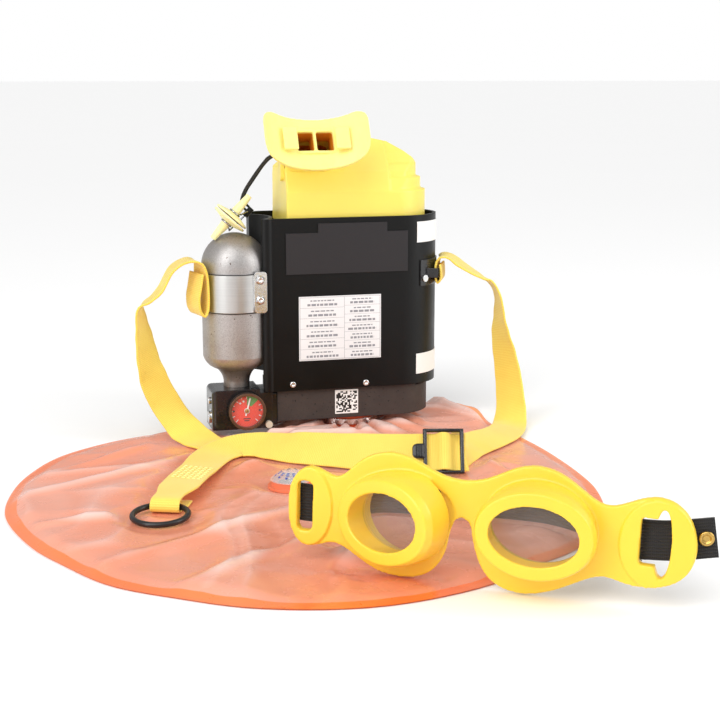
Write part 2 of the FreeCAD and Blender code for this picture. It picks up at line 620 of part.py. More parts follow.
def buckle_point(s, out):
    """A webbing section at the buckle: s along the strap, out from the frame's plane."""
    along, across, normal = buckle_frame()
    p = BUCKLE_AT + along * s + normal * out
    return (p.x, p.y, p.z, (across.x, across.y, across.z))


def strap_left():
    return ribbon([ribbon_width(p, WEB_W) for p in LEFT_STRAP])


LOOP = ((37.1, 121.5), (37.6, 116), (37.4, 110.5), (35.5, 108), (33.9, 111), (33.9, 116),
        (33.9, 121), (35.5, 125.5))
WEAVE = ((14, -3.6), (10, -4.0), (5, -1.2), (1.6, 2.3), (-1.6, 2.3), (-5, -1.2), (-10.5, -1.5),
         (-16, -1.8))
TO_RING = V(-0.37, -0.93, 0).normalize()
RING_ACROSS = (-0.93, 0.37, 0)
TUNNEL = ((-6.0, 4.3), (0.0, 4.4), (4.2, 3.9), (6.4, 2.0), (7.0, 0.0), (6.4, -1.6), (4.0, -2.7),
          (0.0, -2.9), (-10.0, -2.8), (-17.0, -2.6))


def ring_seat():
    return V(RING_X, RING_Y, RING_Z) - TO_RING * RING_R


def strap_right():
    loop = [bracket_point(out, z) + ((0.407, 0.914, 0),) for out, z in LOOP]
    weave = [buckle_point(s, out) for s, out in WEAVE]
    sections = [ribbon_width(p, WEB_W) for p in loop + list(RIGHT_STRAP) + weave + list(RUN_STRAP)]
    for s, up in TUNNEL:
        p = ring_seat() + TO_RING * s + V(0, 0, up)
        sections.append((p.x, p.y, p.z, RING_ACROSS, 18.0 if s > -8.0 else 22.0))
    return ribbon(sections)


def pull_ring():
    torus = Part.makeTorus(RING_R, RING_ROD)
    torus.rotate(TO_RING * -RING_R, V(*RING_ACROSS), -RING_SAG)
    torus.translate(V(RING_X, RING_Y, RING_Z))
    return torus


def slider_buckle():
    half_w = WEB_W / 2 + 0.4
    bars = [rod(V(x, -half_w - 0.5, z), V(x, half_w + 0.5, z), BAR_R)
            for x, z in ((-BAR_PITCH, 1.2), (0.0, 0.0), (BAR_PITCH, 1.2))]
    rails = [slab(-BAR_PITCH - 1.3, y, -1.0, BAR_PITCH + 1.3, y + RAIL_T, 2.5)
             for y in (-half_w - RAIL_T, half_w)]
    tab = rounded_box(-BAR_PITCH - 8.5, -5, 0.8, -BAR_PITCH - 0.4, 5, 2.5, 3.0, V(0, 0, 1))
    buckle = fuse_all(bars + rails + [tab]).removeSplitter()
    buckle.rotate(V(0, 0, 0), V(1, 0, 0), BUCKLE_LEAN)
    buckle.rotate(V(0, 0, 0), V(0, 0, 1), BUCKLE_TURN)
    buckle.translate(BUCKLE_AT)
    return buckle


# ---- breathing bag, lying flat ----
BAG_OUTLINE = ((-233, -174), (-228, -123), (-216, -84), (-195, -46), (-159, -14), (-115, 6),
               (-62, 24), (-10, 38), (40, 43), (85, 38), (108, 12), (121, -30), (134, -114),
               (132, -195), (111, -263), (72, -313), (9, -352), (-58, -368), (-118, -355),
               (-170, -318), (-210, -255))
BAG_MIDDLE = V(-50, -165, 0)


def bag_slab(z0, z1, scale=1.0):
    flat = [BAG_MIDDLE + (V(x, y, 0) - BAG_MIDDLE) * scale for x, y in BAG_OUTLINE]
    return loop_face([V(p.x, p.y, z0) for p in flat]).extrude(V(0, 0, z1 - z0))


def bag_lower_film():
    return bag_slab(0.0, FILM_T)


def bag_upper_film():
    inner = 1.0 - RIM_W / 180.0
    film = bag_slab(FILM_T, BAG_TOP).cut(bag_slab(FILM_T, BAG_TOP - FILM_T, inner))
    film = film.cut(post(SPIGOT_X, 0, SPIGOT_R, 0, 10))
    return film.cut(post(RELIEF_X, RELIEF_Y, 6.0, 0, 10))


def bag_port_collar():
    return ring(V(SPIGOT_X, 0, BAG_TOP), V(0, 0, 1), SPIGOT_R + 3.0, SPIGOT_R,
                BASE_BOTTOM - BAG_TOP)


def bag_clamp_ring():
    return ring(V(SPIGOT_X, 0, BAG_TOP + 2.5), V(0, 0, 1), SPIGOT_R + 4.2, SPIGOT_R + 3.0, 4.0)


def relief_body():
    seat = post(RELIEF_X, RELIEF_Y, 15.0, BAG_TOP, BAG_TOP + 1.6)
    wall = post(RELIEF_X, RELIEF_Y, 12.5, BAG_TOP + 1.6, BAG_TOP + 5.2)
    body = seat.fuse(wall.cut(post(RELIEF_X, RELIEF_Y, 11.2, BAG_TOP, BAG_TOP + 6)))
    return body.cut(post(RELIEF_X, RELIEF_Y, 6.0, 0, 20)).removeSplitter()


def relief_disc():
    return post(RELIEF_X, RELIEF_Y, 8.5, BAG_TOP + 1.6 + GAP, BAG_TOP + 1.6 + GAP + 1.2)


def relief_spring():
    return helix_spring(V(RELIEF_X, RELIEF_Y, BAG_TOP + 3.5), 4.0, 0.4, 5.8, 3)


def relief_cap():
    low = BAG_TOP + 5.2
    outer = Part.makeSphere(17.5, V(RELIEF_X, RELIEF_Y, low - 11.2))
    inner = Part.makeSphere(16.4, V(RELIEF_X, RELIEF_Y, low - 11.2))
    dome = outer.cut(inner).common(post(RELIEF_X, RELIEF_Y, 13.4, low, low + 10))
    return dome.cut(post(RELIEF_X, RELIEF_Y, 1.5, low, low + 12))


# ---- nose clip and tether ----
CLIP_AXIS = V(math.cos(math.radians(CLIP_LEAN)), 0, math.sin(math.radians(CLIP_LEAN)))
SLEEVE_LOW, SLEEVE_HIGH = V(-56.6, -0.5, 158.2), V(-51.4, -1.0, 163.8)
SPRING_SIDE = V(0.388, 0.853, -0.346)     # from the pads' axis towards the sleeve


def clip_pad(side):
    inner, root = PAD_GAP / 2.0, PAD_GAP / 2.0 + PAD_T
    axis = CLIP_AXIS * side
    disc = Part.makeCylinder(PAD_R, 1.4, CLIP_AT + axis * inner, axis)
    dish = Part.makeCone(PAD_R, 5.5, PAD_T - 1.4, CLIP_AT + axis * (inner + 1.4), axis)
    tip = 20.6 if side > 0 else 19.3
    stub = Part.makeCone(3.6, 2.2, tip - root, CLIP_AT + axis * root, axis)
    groove = ring(CLIP_AT + axis * root, axis, 6.0, 3.0, 1.5)
    return fuse_all([disc, dish, stub]).cut(groove).removeSplitter()


def clip_spring():
    """Two wire eyes round the stub roots, and the arms past the rims to the sleeve."""
    parts = []
    for side, reach, inward in ((-1, 14.6, 0.3), (1, 12.0, 0.7)):
        end = SLEEVE_LOW + (SLEEVE_HIGH - SLEEVE_LOW) * inward
        eye = CLIP_AT + CLIP_AXIS * ((PAD_GAP / 2 + PAD_T + 0.75) * side)
        torus = Part.makeTorus(3.75, 0.65)
        torus.Placement = FreeCAD.Placement(eye, FreeCAD.Rotation(V(0, 0, 1), CLIP_AXIS))
        leave = eye + SPRING_SIDE * 3.75
        knee = CLIP_AT + CLIP_AXIS * (7.0 * side) + SPRING_SIDE * reach
        parts += [torus, rod(leave, knee, 0.6), Part.makeSphere(0.6, knee), rod(knee, end, 0.6)]
    return fuse_all(parts).cut(clip_sleeve()).removeSplitter()


def clip_sleeve():
    return rod(SLEEVE_LOW, SLEEVE_HIGH, 2.2)


TETHER_FRONT = ((EYELET_X - 0.8, -16.2, 202), (-40.5, -17.6, 202.8), (-46.5, -18.5, 196.5),
                (-54, -17, 186), (-60, -13, 175.5), (-60.5, -6.5, 166.5), (-56.2, -2.9, 163))
TETHER_BACK = ((EYELET_X - 0.8, -13.8, 202), (-38.5, -14, 201.6), (-45, -14.5, 195.5),
               (-51, -13.5, 186.5), (-57, -9.5, 177), (-58.5, -4, 169), (-53.7, -1.8, 165))


def tether_front():
    return cord_tube(TETHER_FRONT)


def tether_back():
    return cord_tube(TETHER_BACK)


def tether_eyelet():
    return rounded_box(EYELET_X, -19, 184, BOOT_LEFT, -11, 205.5, 3.0, V(1, 0, 0))


# ---- goggles, drawn upright around their own middle, front towards -Y ----
def goggle_placement():
    turn = FreeCAD.Rotation(V(0, 0, 1), GOGGLE_TURN)
    return FreeCAD.Placement(GOGGLE_AT, turn.multiply(FreeCAD.Rotation(V(0, 1, 0), GOGGLE_ROLL)))


def goggle_place(shape):
    shape.Placement = goggle_placement()
    return shape


def goggle_point(u, n, z):
    """A point of the goggles in the set's own axes; n is out of the front."""
    return goggle_placement().multVec(V(u, -n, z))


GOGGLE_OUTLINE = (
    (1.2, 30), (4, 18), (12, 5), (26, 0), (42, 3), (57, 10.5), (69, 15), (80, 13), (94, 13.5),
    (106, 19), (112, 28.5), (112, 41), (107, 52), (98, 58), (88, 58), (78, 54), (69, 51.5), (57, 57), (46, 64),
    (35, 67), (23, 65), (9, 58), (-4, 55), (-17, 57), (-31, 63), (-43, 65), (-54, 62), (-63, 55),
    (-72, 48.5), (-80, 51), (-88, 52), (-96, 43), (-97.5, 31), (-96, 19), (-88, 9.5),
    (-80, 10.5), (-73, 12.5), (-62, 8.5), (-49, 1.5), (-34, -0.6), (-20, 4), (-12, 17), (-9.2, 30),
    (-4, 35.5))


def at_eye(shape, eye):
    """Set a shape drawn round the origin at one eye."""
    across, up, turn, tilt = eye
    shape.rotate(V(0, 0, 0), V(0, 1, 0), -tilt)
    shape.rotate(V(0, 0, 0), V(0, 0, 1), turn)
    shape.translate(V(across, 0, up))
    return shape


def eye_cup(eye):
    return at_eye(ellipse_loft([(V(0, 6, 0), 27.5, 24.5), (V(0, -RIM_OUT * 0.7, 0), 30.6, 23.6),
                                (V(0, -RIM_OUT, 0), 29.2, 22.0)]), eye)


def eye_hollow(eye):
    return at_eye(ellipse_loft([(V(0, 12, 0), 26.3, 21.5), (V(0, 0, 0), 24.4, 17.6),
                                (V(0, -RIM_OUT - 1, 0), 22.3, 15.0)]), eye)


def goggle_frame():
    sheet = loop_face([V(u, 1, z) for u, z in GOGGLE_OUTLINE]).extrude(V(0, 4, 0))
    frame = fuse_all([sheet] + [eye_cup(eye) for eye in (LEFT_EYE, RIGHT_EYE)])
    frame = frame.cut(fuse_all([eye_hollow(eye) for eye in (LEFT_EYE, RIGHT_EYE)]))
    frame = frame.cut(rounded_box(-92.5, -10, 17.5, -84, 10, 44.5, 3.0, V(0, 1, 0)))
    frame = frame.cut(rounded_box(85.5, -10, 24.5, 99, 10, 48.5, 2.0, V(0, 1, 0)))
    frame = frame.cut(ellipse_loft([(V(96.5, -10, 36), 4.2, 17.5), (V(96.5, 10, 36), 4.2, 17.5)]))
    return goggle_place(frame.cut(rounded_box(-8.6, -20, -10, 0.6, 20, 35, 4.0, V(0, 1, 0))))


def goggle_lenses():
    lenses = []
    for eye in (LEFT_EYE, RIGHT_EYE):
        pane = at_eye(rod(V(0, 0, 0), V(0, -LENS_T, 0), 40), eye)
        lenses.append(goggle_place(pane.common(eye_hollow(eye))))
    return Part.makeCompound(lenses)


ELASTIC = ((-95, -6.4, 31), (-86, -6.4, 31), (-82.5, -10, 30.5), (-81, -20, 27), (-83, -40, 19),
           (-87.5, -65, 10.5), (-89, -84, 8.4), (-79, -98, 8.8), (-57, -103, 9.6),
           (-25, -109, 10.7), (0, -111, 11.6), (20, -109.5, 12.3), (38, -101, 13), (57, -84, 14),
           (72, -62, 17), (81, -40, 23), (84, -22, 29.5), (84.5, -11.5, 34), (87, -6.6, 35.5),
           (98, -6.4, 36.5), (106, -6.4, 38), (113, -6.8, 39.5), (121, -8, 41))


def goggle_strap():
    up = goggle_point(0, 0, 1) - goggle_point(0, 0, 0)
    places = [goggle_point(u, n, z) for u, n, z in ELASTIC]
    return ribbon([(p.x, p.y, p.z, (up.x, up.y, up.z), ELASTIC_W) for p in places], ELASTIC_T)


SNAP_AT, SNAP_R = (116.4, -6.3, 40.2), 3.8


def goggle_snap():
    face = goggle_point(*SNAP_AT)
    ahead = goggle_point(121, -8, 0) - goggle_point(113, -6.8, 0)
    up = goggle_point(0, 0, 1) - goggle_point(0, 0, 0)
    return Part.makeCylinder(SNAP_R, 1.4, face, ahead.cross(up))


NODES = {
    "canister_shroud": canister_shroud, "canister_base": canister_base,
    "absorbent_can": absorbent_can, "can_screens": can_screens, "filter_pads": filter_pads,
    "absorbent_bed": absorbent_bed, "can_lid": can_lid, "boot": boot,
    "mouth_throat": mouth_throat, "mouthpiece": mouthpiece, "oxygen_bottle": oxygen_bottle,
    "bottle_band": bottle_band, "band_clamp": band_clamp, "band_bolts": band_bolts,
    "valve_block": valve_block, "block_flange": block_flange, "oxygen_outlet": oxygen_outlet,
    "bleed_plug": bleed_plug, "side_plugs": side_plugs, "reducer_piston": reducer_piston,
    "reducer_spring": reducer_spring, "demand_lever": demand_lever,
    "demand_diaphragm": demand_diaphragm, "diaphragm_cover": diaphragm_cover,
    "gauge_case": gauge_case, "gauge_dial": gauge_dial, "gauge_needle": gauge_needle,
    "gauge_lens": gauge_lens, "gauge_bezel": gauge_bezel, "name_plate": name_plate,
    "white_label": white_label, "square_label": square_label, "side_labels": side_labels,
    "shroud_screws": shroud_screws, "strap_bracket": strap_bracket,
    "bracket_rivet": bracket_rivet, "strap_left": strap_left, "strap_right": strap_right,
    "pull_ring": pull_ring, "slider_buckle": slider_buckle, "bag_lower_film": bag_lower_film,
    "bag_upper_film": bag_upper_film, "bag_port_collar": bag_port_collar,
    "bag_clamp_ring": bag_clamp_ring, "relief_body": relief_body, "relief_disc": relief_disc,
    "relief_spring": relief_spring, "relief_cap": relief_cap,
    "clip_pad_upper": lambda: clip_pad(1), "clip_pad_lower": lambda: clip_pad(-1),
    "clip_spring": clip_spring, "clip_sleeve": clip_sleeve, "tether_front": tether_front,
    "tether_back": tether_back, "tether_eyelet": tether_eyelet, "goggle_frame": goggle_frame,
    "goggle_lenses": goggle_lenses, "goggle_strap": goggle_strap, "goggle_snap": goggle_snap,
}


def main():
    os.makedirs("parts", exist_ok=True)
    for name, make in NODES.items():
        shape = make()
        print("%-17s ok %s, solids %d, %.0f mm3" % (
            name, shape.isValid(), len(shape.Solids), shape.Volume))
        shape.exportStep("parts/%s.step" % name)


main()
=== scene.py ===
import math
import random

import bmesh
import bpy
import numpy as np
from mathutils import Matrix, Vector, noise
from mathutils.bvhtree import BVHTree
from mathutils.kdtree import KDTree


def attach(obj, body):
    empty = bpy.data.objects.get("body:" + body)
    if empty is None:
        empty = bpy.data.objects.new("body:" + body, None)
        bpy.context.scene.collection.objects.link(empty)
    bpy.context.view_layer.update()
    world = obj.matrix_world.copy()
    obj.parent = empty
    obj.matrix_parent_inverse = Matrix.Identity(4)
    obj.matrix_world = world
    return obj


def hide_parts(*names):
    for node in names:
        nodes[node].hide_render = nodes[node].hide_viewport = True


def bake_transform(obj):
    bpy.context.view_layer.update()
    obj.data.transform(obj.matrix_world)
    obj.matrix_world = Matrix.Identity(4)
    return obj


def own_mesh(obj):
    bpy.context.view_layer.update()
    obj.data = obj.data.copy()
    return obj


# Closed-circuit escape breathing set.  Route and section numbers are in millimetres and are
# scaled by MM when a mesh is made; everything else is in metres.
MM = 0.001
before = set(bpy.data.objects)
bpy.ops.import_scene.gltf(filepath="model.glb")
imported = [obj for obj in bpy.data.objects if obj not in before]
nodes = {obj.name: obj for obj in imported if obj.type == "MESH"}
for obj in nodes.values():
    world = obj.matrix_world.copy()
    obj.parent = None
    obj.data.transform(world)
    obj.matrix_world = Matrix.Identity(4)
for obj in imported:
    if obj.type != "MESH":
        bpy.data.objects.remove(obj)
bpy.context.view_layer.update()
scene = bpy.context.scene
scene.view_settings.view_transform = "Standard"


# ---- camera, light and floor ----
def add_object(name, data):
    obj = bpy.data.objects.new(name, data)
    scene.collection.objects.link(obj)
    return obj


camera = add_object("camera", bpy.data.cameras.new("camera"))
camera.location = (-0.2284, -0.9965, 0.2575)
camera.rotation_euler = (math.radians(78.5), 0.0, math.radians(-14.5))
camera.data.lens = 70.0
camera.data.clip_start = 0.05
scene.camera = camera


def area_light(name, place, aim, size, watts):
    lamp = add_object(name, bpy.data.lights.new(name, "AREA"))
    lamp.data.shape = "RECTANGLE"
    lamp.data.size, lamp.data.size_y = size
    lamp.data.energy = watts
    lamp.location = place
    lamp.rotation_euler = (Vector(aim) - Vector(place)).to_track_quat("-Z", "Y").to_euler()


def sun_light(name, aim, spread, strength):
    lamp = add_object(name, bpy.data.lights.new(name, "SUN"))
    lamp.data.energy = strength
    lamp.data.angle = math.radians(spread)
    lamp.rotation_euler = Vector(aim).to_track_quat("-Z", "Y").to_euler()


sun_light("key", (0.55, 0.75, -1.0), 45.0, 1.28)
sun_light("fill", (-0.7, 0.5, -0.75), 60.0, 0.55)
area_light("left_strip", (-0.95, -0.75, 0.55), (0.0, 0.0, 0.1), (0.35, 0.9), 5.0)
area_light("right_strip", (0.95, -0.6, 0.5), (0.0, 0.0, 0.1), (0.3, 0.8), 4.0)
world = bpy.data.worlds.new("studio")
world.use_nodes = True
backdrop = world.node_tree.nodes["Background"]
seen = world.node_tree.nodes.new("ShaderNodeLightPath")
level = world.node_tree.nodes.new("ShaderNodeMapRange")
level.inputs["To Min"].default_value = 0.52
level.inputs["To Max"].default_value = 1.0
world.node_tree.links.new(seen.outputs["Is Camera Ray"], level.inputs["Value"])
world.node_tree.links.new(level.outputs["Result"], backdrop.inputs["Strength"])
backdrop.inputs["Color"].default_value = (1.0, 1.0, 1.0, 1.0)
scene.world = world


# ---- materials ----
def srgb(code):
    """A linear colour from a six-digit hex code."""
    parts = [int(code[i:i + 2], 16) / 255 for i in (0, 2, 4)]
    return tuple(c / 12.92 if c < 0.04045 else ((c + 0.055) / 1.055) ** 2.4 for c in parts) + (1.0,)


def scaled(colour, k):
    return tuple(min(1.0, c * k) for c in colour[:3]) + (1.0,)


class Finish:
    """A Principled material and the few node chains that the finishes here are made of."""

    def __init__(self, name, **sockets):
        self.material = bpy.data.materials.new(name)
        self.material.use_nodes = True
        self.tree = self.material.node_tree
        self.shader = self.tree.nodes["Principled BSDF"]
        for socket, value in sockets.items():
            self.shader.inputs[socket.replace("_", " ")].default_value = value
        self.place = self.node("ShaderNodeTexCoord").outputs["Object"]

    def node(self, kind, **settings):
        made = self.tree.nodes.new(kind)
        for key, value in settings.items():
            setattr(made, key, value)
        return made

    def feed(self, socket, value):
        if isinstance(value, bpy.types.NodeSocket):
            self.tree.links.new(value, socket)
        else:
            socket.default_value = value

    def to(self, name, value):
        self.feed(self.shader.inputs[name], value)

    def noise(self, scale, detail=3.0, rough=0.55, stretch=None):
        made = self.node("ShaderNodeTexNoise")
        made.inputs["Scale"].default_value = scale
        made.inputs["Detail"].default_value = detail
        made.inputs["Roughness"].default_value = rough
        at = self.place
        if stretch:
            mapping = self.node("ShaderNodeMapping")
            mapping.inputs["Scale"].default_value = stretch
            self.feed(mapping.inputs["Vector"], at)
            at = mapping.outputs["Vector"]
        self.feed(made.inputs["Vector"], at)
        return made.outputs["Fac"]

    def ramp(self, value, low, high, start=0.0, end=1.0):
        made = self.node("ShaderNodeMapRange", clamp=True)
        for socket, number in (("From Min", low), ("From Max", high), ("To Min", start),
                               ("To Max", end)):
            made.inputs[socket].default_value = number
        self.feed(made.inputs["Value"], value)
        return made.outputs["Result"]

    def maths(self, operation, a, b=0.0):
        made = self.node("ShaderNodeMath", operation=operation)
        self.feed(made.inputs[0], a)
        self.feed(made.inputs[1], b)
        return made.outputs[0]

    def mix(self, factor, a, b):
        made = self.node("ShaderNodeMix", data_type="RGBA")
        self.feed(made.inputs["Factor"], factor)
        self.feed(made.inputs["A"], a)
        self.feed(made.inputs["B"], b)
        return made.outputs["Result"]

    def bump(self, height, strength, depth, under=None):
        made = self.node("ShaderNodeBump")
        made.inputs["Strength"].default_value = strength
        made.inputs["Distance"].default_value = depth
        self.feed(made.inputs["Height"], height)
        if under:
            self.feed(made.inputs["Normal"], under)
        return made.outputs["Normal"]

    def soft_edge(self, radius):
        """Rounds hard edges in the shading."""
        made = self.node("ShaderNodeBevel", samples=6)
        made.inputs["Radius"].default_value = radius
        return made.outputs["Normal"]


def surface(name, code, rough, vary=0.06, patch=35.0, grain=900.0, depth=0.00008, edge=0.0006,
            fleck=None, **sockets):
    """A moulded, cast or painted finish: mottled colour, uneven gloss, grain and soft edges."""
    f = Finish(name, **sockets)
    base = srgb(code)
    broad = f.noise(patch, 4.0)
    colour = f.mix(f.ramp(broad, 0.3, 0.7), scaled(base, 1.0 - vary), scaled(base, 1.0 + vary))
    fine = f.noise(grain, 2.0)
    if fleck:
        spots = f.ramp(f.noise(fleck[1], 2.0), fleck[2], fleck[2] + 0.04)
        colour = f.mix(spots, colour, srgb(fleck[0]))
    f.to("Base Color", colour)
    f.to("Roughness", f.ramp(f.noise(patch * 3, 4.0), 0.3, 0.7, max(0.02, rough - 0.06), rough + 0.06))
    f.to("Normal", f.bump(fine, 0.5, depth, f.soft_edge(edge) if edge else None))
    return f.material


def printed(name, code, rough, vary):
    """A flat ink with hardly any grain."""
    return surface(name, code, rough, vary, 60.0, 900.0, 0.00003, 0.0)


def rubber(name, code, rough, vary, patch, grain, depth, glow, reach, **sockets):
    """Rubber that light enters a little: glow is how much, reach how far for each colour."""
    return surface(name, code, rough, vary, patch, grain, depth, 0.0, Subsurface_Weight=glow,
                   Subsurface_Radius=reach, Subsurface_Scale=1.0, **sockets)


def bead_blasted(name):
    """Grey bottle metal with a fine speckle and a warm tint at the shoulder and crown."""
    f = Finish(name, Metallic=0.75, Specular_IOR_Level=0.5)
    height = f.node("ShaderNodeSeparateXYZ")
    f.feed(height.inputs[0], f.place)
    z = height.outputs["Z"]
    low = f.ramp(z, 0.082, 0.050)
    high = f.ramp(z, 0.128, 0.150)
    patches = f.noise(45.0, 5.0, 0.6)
    warm = f.maths("MULTIPLY", f.maths("MAXIMUM", low, f.maths("MULTIPLY", high, 0.7)),
                   f.ramp(patches, 0.3, 0.62))
    colour = f.mix(warm, srgb("BDBBBA"), srgb("96857A"))
    speckle = f.ramp(f.noise(1400.0, 3.0, 0.7), 0.35, 0.68)
    colour = f.mix(speckle, colour, f.mix(0.5, colour, srgb("6F6A68")))
    pits = f.ramp(f.noise(420.0, 2.0), 0.70, 0.74)
    f.to("Base Color", f.mix(pits, colour, srgb("5A4C44")))
    f.to("Roughness", f.ramp(patches, 0.3, 0.7, 0.40, 0.52))
    f.to("Normal", f.bump(f.noise(1600.0, 3.0), 0.6, 0.00012))
    return f.material


def brushed(name, code, rough, across=(4.0, 4.0, 900.0)):
    f = Finish(name, Metallic=1.0)
    lines = f.noise(6.0, 5.0, 0.7, across)
    f.to("Base Color", f.mix(f.ramp(lines, 0.3, 0.7), scaled(srgb(code), 0.8), srgb(code)))
    f.to("Roughness", f.ramp(lines, 0.2, 0.8, rough - 0.08, rough + 0.1))
    f.to("Normal", f.bump(lines, 0.25, 0.0001, f.soft_edge(0.0004)))
    return f.material


def woven(name, code, dark, rib=8.0, columns=14.0, depth=0.00022):
    """Flat webbing.  Its UV map is in centimetres: across, then along."""
    f = Finish(name, Sheen_Weight=0.35, Sheen_Roughness=0.4, Specular_IOR_Level=0.35)
    at = f.node("ShaderNodeSeparateXYZ")
    f.feed(at.inputs[0], f.node("ShaderNodeUVMap", uv_map="cm").outputs["UV"])
    u, v = at.outputs["X"], at.outputs["Y"]
    turn = 2.0 * math.pi
    columns_phase = f.maths("MULTIPLY", u, columns * turn / 2.5)
    chevron = f.maths("MULTIPLY", f.maths("SINE", columns_phase), 0.9)
    picks = f.maths("SINE", f.maths("ADD", f.maths("MULTIPLY", v, rib * turn), chevron))
    ribs = f.maths("MULTIPLY", f.maths("ABSOLUTE", f.maths("SINE", columns_phase)), 0.6)
    weave = f.ramp(f.maths("ADD", f.maths("MULTIPLY", picks, 0.5), ribs), -0.5, 1.1)
    fuzz = f.noise(1500.0, 3.0, 0.7)
    wear = f.noise(30.0, 4.0)
    colour = f.mix(weave, srgb(dark), srgb(code))
    colour = f.mix(f.ramp(wear, 0.35, 0.75, 0.0, 0.35), colour, scaled(srgb(code), 1.12))
    f.to("Base Color", f.mix(f.ramp(fuzz, 0.55, 0.8, 0.0, 0.25), colour, srgb(dark)))
    f.to("Roughness", f.ramp(weave, 0.0, 1.0, 0.72, 0.55))
    height = f.maths("ADD", weave, f.maths("MULTIPLY", fuzz, 0.35))
    f.to("Normal", f.bump(height, 0.7, depth))
    return f.material


def film(name, code, painted_highlight_code, alpha, rough):
    """Thin translucent sheet with a soft gloss, and pale streaks and pale fold ridges painted on as
    highlights.
    """
    f = Finish(name, Specular_IOR_Level=0.6, Coat_Weight=0.35, Coat_Roughness=0.22)
    streaks = f.noise(9.0, 3.0, 0.45, (1.0, 0.5, 1.0))
    tone = f.node("ShaderNodeAttribute", attribute_name="fold_highlight").outputs["Fac"]
    # pale: painted highlights from the streak noise and the fold-ridge amount
    pale = f.maths("MAXIMUM", f.ramp(streaks, 0.45, 0.75, 0.0, 0.5), f.maths("MULTIPLY", tone, 0.8))
    f.to("Base Color", f.mix(pale, srgb(code), srgb(painted_highlight_code)))
    f.to("Alpha", f.ramp(pale, 0.0, 1.0, alpha, min(1.0, alpha + 0.12)))
    f.to("Roughness", f.ramp(f.noise(60.0, 3.0), 0.3, 0.7, rough - 0.07, rough + 0.08))
    f.to("Normal", f.bump(f.noise(45.0, 2.0, 0.4), 0.25, 0.0005))
    return f.material


def clear(name, code, alpha, rough=0.05):
    f = Finish(name, Specular_IOR_Level=0.6, Alpha=alpha, Coat_Weight=0.3, Coat_Roughness=0.05)
    f.to("Base Color", f.mix(f.ramp(f.noise(30.0, 3.0), 0.4, 0.7), srgb(code),
                             scaled(srgb(code), 1.15)))
    f.to("Roughness", f.ramp(f.noise(160.0, 3.0), 0.4, 0.8, rough, rough + 0.06))
    return f.material


